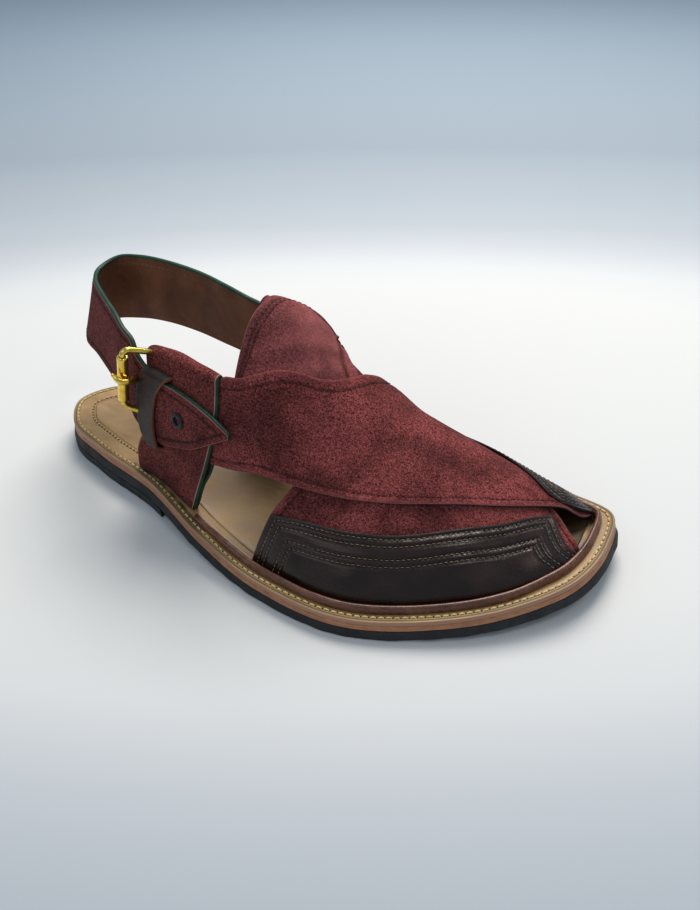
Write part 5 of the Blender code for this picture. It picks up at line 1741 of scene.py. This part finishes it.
# %% Midsole, outsole and heel block
slab("midsole_leather",
     ((MIDSOLE_EDGE, MIDSOLE_DEPTH), (1.25, 4.6), (MIDSOLE_EDGE, 3.8), (1.36, 3.65),
      (MIDSOLE_EDGE, 3.5), (1.42, 2.6), (1.5, 2.32)),
     LAYERED, ("midsole",), wobble=(0.12, 11.0, 81))
slab("rubber_outsole",
     ((2.4, outsole_bottom), (0.7, outsole_bottom), (0.35, deeper(outsole_bottom, -0.15)),
      (0.12, deeper(outsole_bottom, -0.5)), (0.1, deeper(outsole_bottom, -1.4)), (0.5, 7.2),
      (0.95, 5.8), (1.1, 5.3)),
     RUBBER, ("outsole",), wobble=(0.4, 7.0, 82), tread=0.5)
slab("rubber_heel",
     ((2.4, rim_height), (0.8, rim_height), (0.3, deeper(rim_height, -0.15)),
      (0.05, deeper(rim_height, -0.9)), (0.05, deeper(heel_top, 0.5)), (0.2, heel_top)),
     RUBBER, ("heel",), last=HEEL_BREAST, steps=120, wobble=(0.2, 6.0, 83),
     tread=0.4)

# %% [markdown]
# ## Camera, light and floor
# The sandal stands on a pale sheet, as on a small product table. A large soft light hangs
# behind it, a small one above the toe puts the shine on the panels, and a weak one in front opens
# the shadows. The sheet's colour holds a painted pool of light: white round the sandal, and painted
# darker blue-grey further away.

# %% Camera
def look_from(centre, azimuth, elevation, roll, distance):
    """Camera axes and place for a view of a centre, angles in degrees."""
    az, el, turn = (math.radians(a) for a in (azimuth, elevation, roll))
    back = np.array((math.sin(az) * math.cos(el), -math.cos(az) * math.cos(el), math.sin(el)))
    right = np.array((math.cos(az), math.sin(az), 0.0))
    up = np.cross(back, right)
    right, up = right * math.cos(turn) + up * math.sin(turn), (up * math.cos(turn)
                                                              - right * math.sin(turn))
    return right, up, back, centre + back * distance


SEEN, DISTANCE = np.array((-0.8, 58.5, -5.6)), 446.0
AZIMUTH, ELEVATION, ROLL = 26.8, 38.6, -0.7
right, up, back, eye = look_from(SEEN, AZIMUTH, ELEVATION, ROLL, DISTANCE)
lens = bpy.data.cameras.new("camera")
lens.lens, lens.sensor_width, lens.clip_start = 32.69, 36.0, 0.01
camera = bpy.data.objects.new("camera", lens)
bpy.context.scene.collection.objects.link(camera)
camera.matrix_world = Matrix([[*axis] for axis in np.array((right, up, back, eye * MM)).T]
                             + [[0, 0, 0, 1]])
bpy.context.scene.camera = camera
print("camera at", eye.round(1), "mm")

# %% Floor
# the painted pool of light on the floor: its centre in metres, its turn in degrees and its stretch
PAINTED_POOL_CENTRE, PAINTED_POOL_TURN, PAINTED_POOL_LONG = (-0.014, 0.085, 0.0), 26.8, 2.2
FLOOR_REACH = 6.0


def floor_with_painted_pool():
    """Pale paper with a painted pool of light: white in an oval round the sandal, painted darker
    blue-grey further away; in metres.
    """
    made, tree, shader = start_finish("pale_paper_painted_light_pool", roughness=0.95)
    place = node(tree, "TexCoord", output=3)
    moved = node(tree, "Mapping", {"Vector": place, "Location": PAINTED_POOL_CENTRE,
                                   "Rotation": (0, 0, math.radians(PAINTED_POOL_TURN)),
                                   "Scale": (PAINTED_POOL_LONG, 1, 1)}, vector_type="TEXTURE")
    away = node(tree, "VectorMath", {0: moved}, output=1, operation="LENGTH")
    colour = colours(tree, away, (0.15, (0.63, 0.62, 0.60)), (0.19, (0.59, 0.59, 0.585)),
                     (0.229, (0.47, 0.485, 0.505)), (0.265, (0.40, 0.425, 0.45)),
                     (0.33, (0.35, 0.38, 0.41)), (0.45, (0.28, 0.32, 0.36)),
                     (1.0, (0.30, 0.36, 0.42)))
    tree.links.new(colour, shader.inputs["Base Color"])
    shader.inputs["Specular IOR Level"].default_value = 0.1
    return made


floor_mesh = bpy.data.meshes.new("floor")
floor_mesh.from_pydata([(x * FLOOR_REACH, y * FLOOR_REACH, 0)
                        for x, y in ((-1, -1), (1, -1), (1, 1), (-1, 1))], [], [(0, 1, 2, 3)])
floor_mesh.materials.append(floor_with_painted_pool())
floor = bpy.data.objects.new("floor", floor_mesh)
bpy.context.scene.collection.objects.link(floor)

# %% Lights
WARM_WHITE, ROOM_BLUE, ROOM_LIGHT = (1.0, 0.965, 0.91), (0.64, 0.81, 1.0, 1.0), 0.49


def soft_light(name, place, aim, size, power):
    """A warm white square area light that looks at a point; places in metres."""
    lamp = bpy.data.lights.new(name, "AREA")
    lamp.size, lamp.energy, lamp.color = size, power, WARM_WHITE
    item = bpy.data.objects.new(name, lamp)
    item.location = place
    item.rotation_euler = (Vector(aim) - Vector(place)).to_track_quat("-Z", "Y").to_euler()
    bpy.context.scene.collection.objects.link(item)


soft_light("overhead", (-0.12, 0.70, 1.1), (0.0, 0.03, 0.0), 0.7, 19.5)
soft_light("toe_light", (0.50, -0.05, 0.95), (0.08, 0.0, 0.03), 0.2, 1.0)
soft_light("fill", (-0.3, -0.95, 0.75), (0.0, 0.0, 0.03), 0.7, 1.4)
world = bpy.data.worlds.new("room")
world.use_nodes = True
background = world.node_tree.nodes["Background"]
background.inputs["Color"].default_value = ROOM_BLUE
background.inputs["Strength"].default_value = ROOM_LIGHT
bpy.context.scene.world = world
bpy.context.scene.view_settings.view_transform = "Standard"
print("lights:", len(bpy.data.lights))

# %% [markdown]
# ## Counting the pieces
# The last cell counts the dressed pieces and, roughly, their triangles.

# %% Measure and finish
total = sum(len(item.data.loop_triangles) or len(item.data.polygons) * 2 for item in PIECES)
print("pieces:", len(PIECES), "triangles, about:", total)
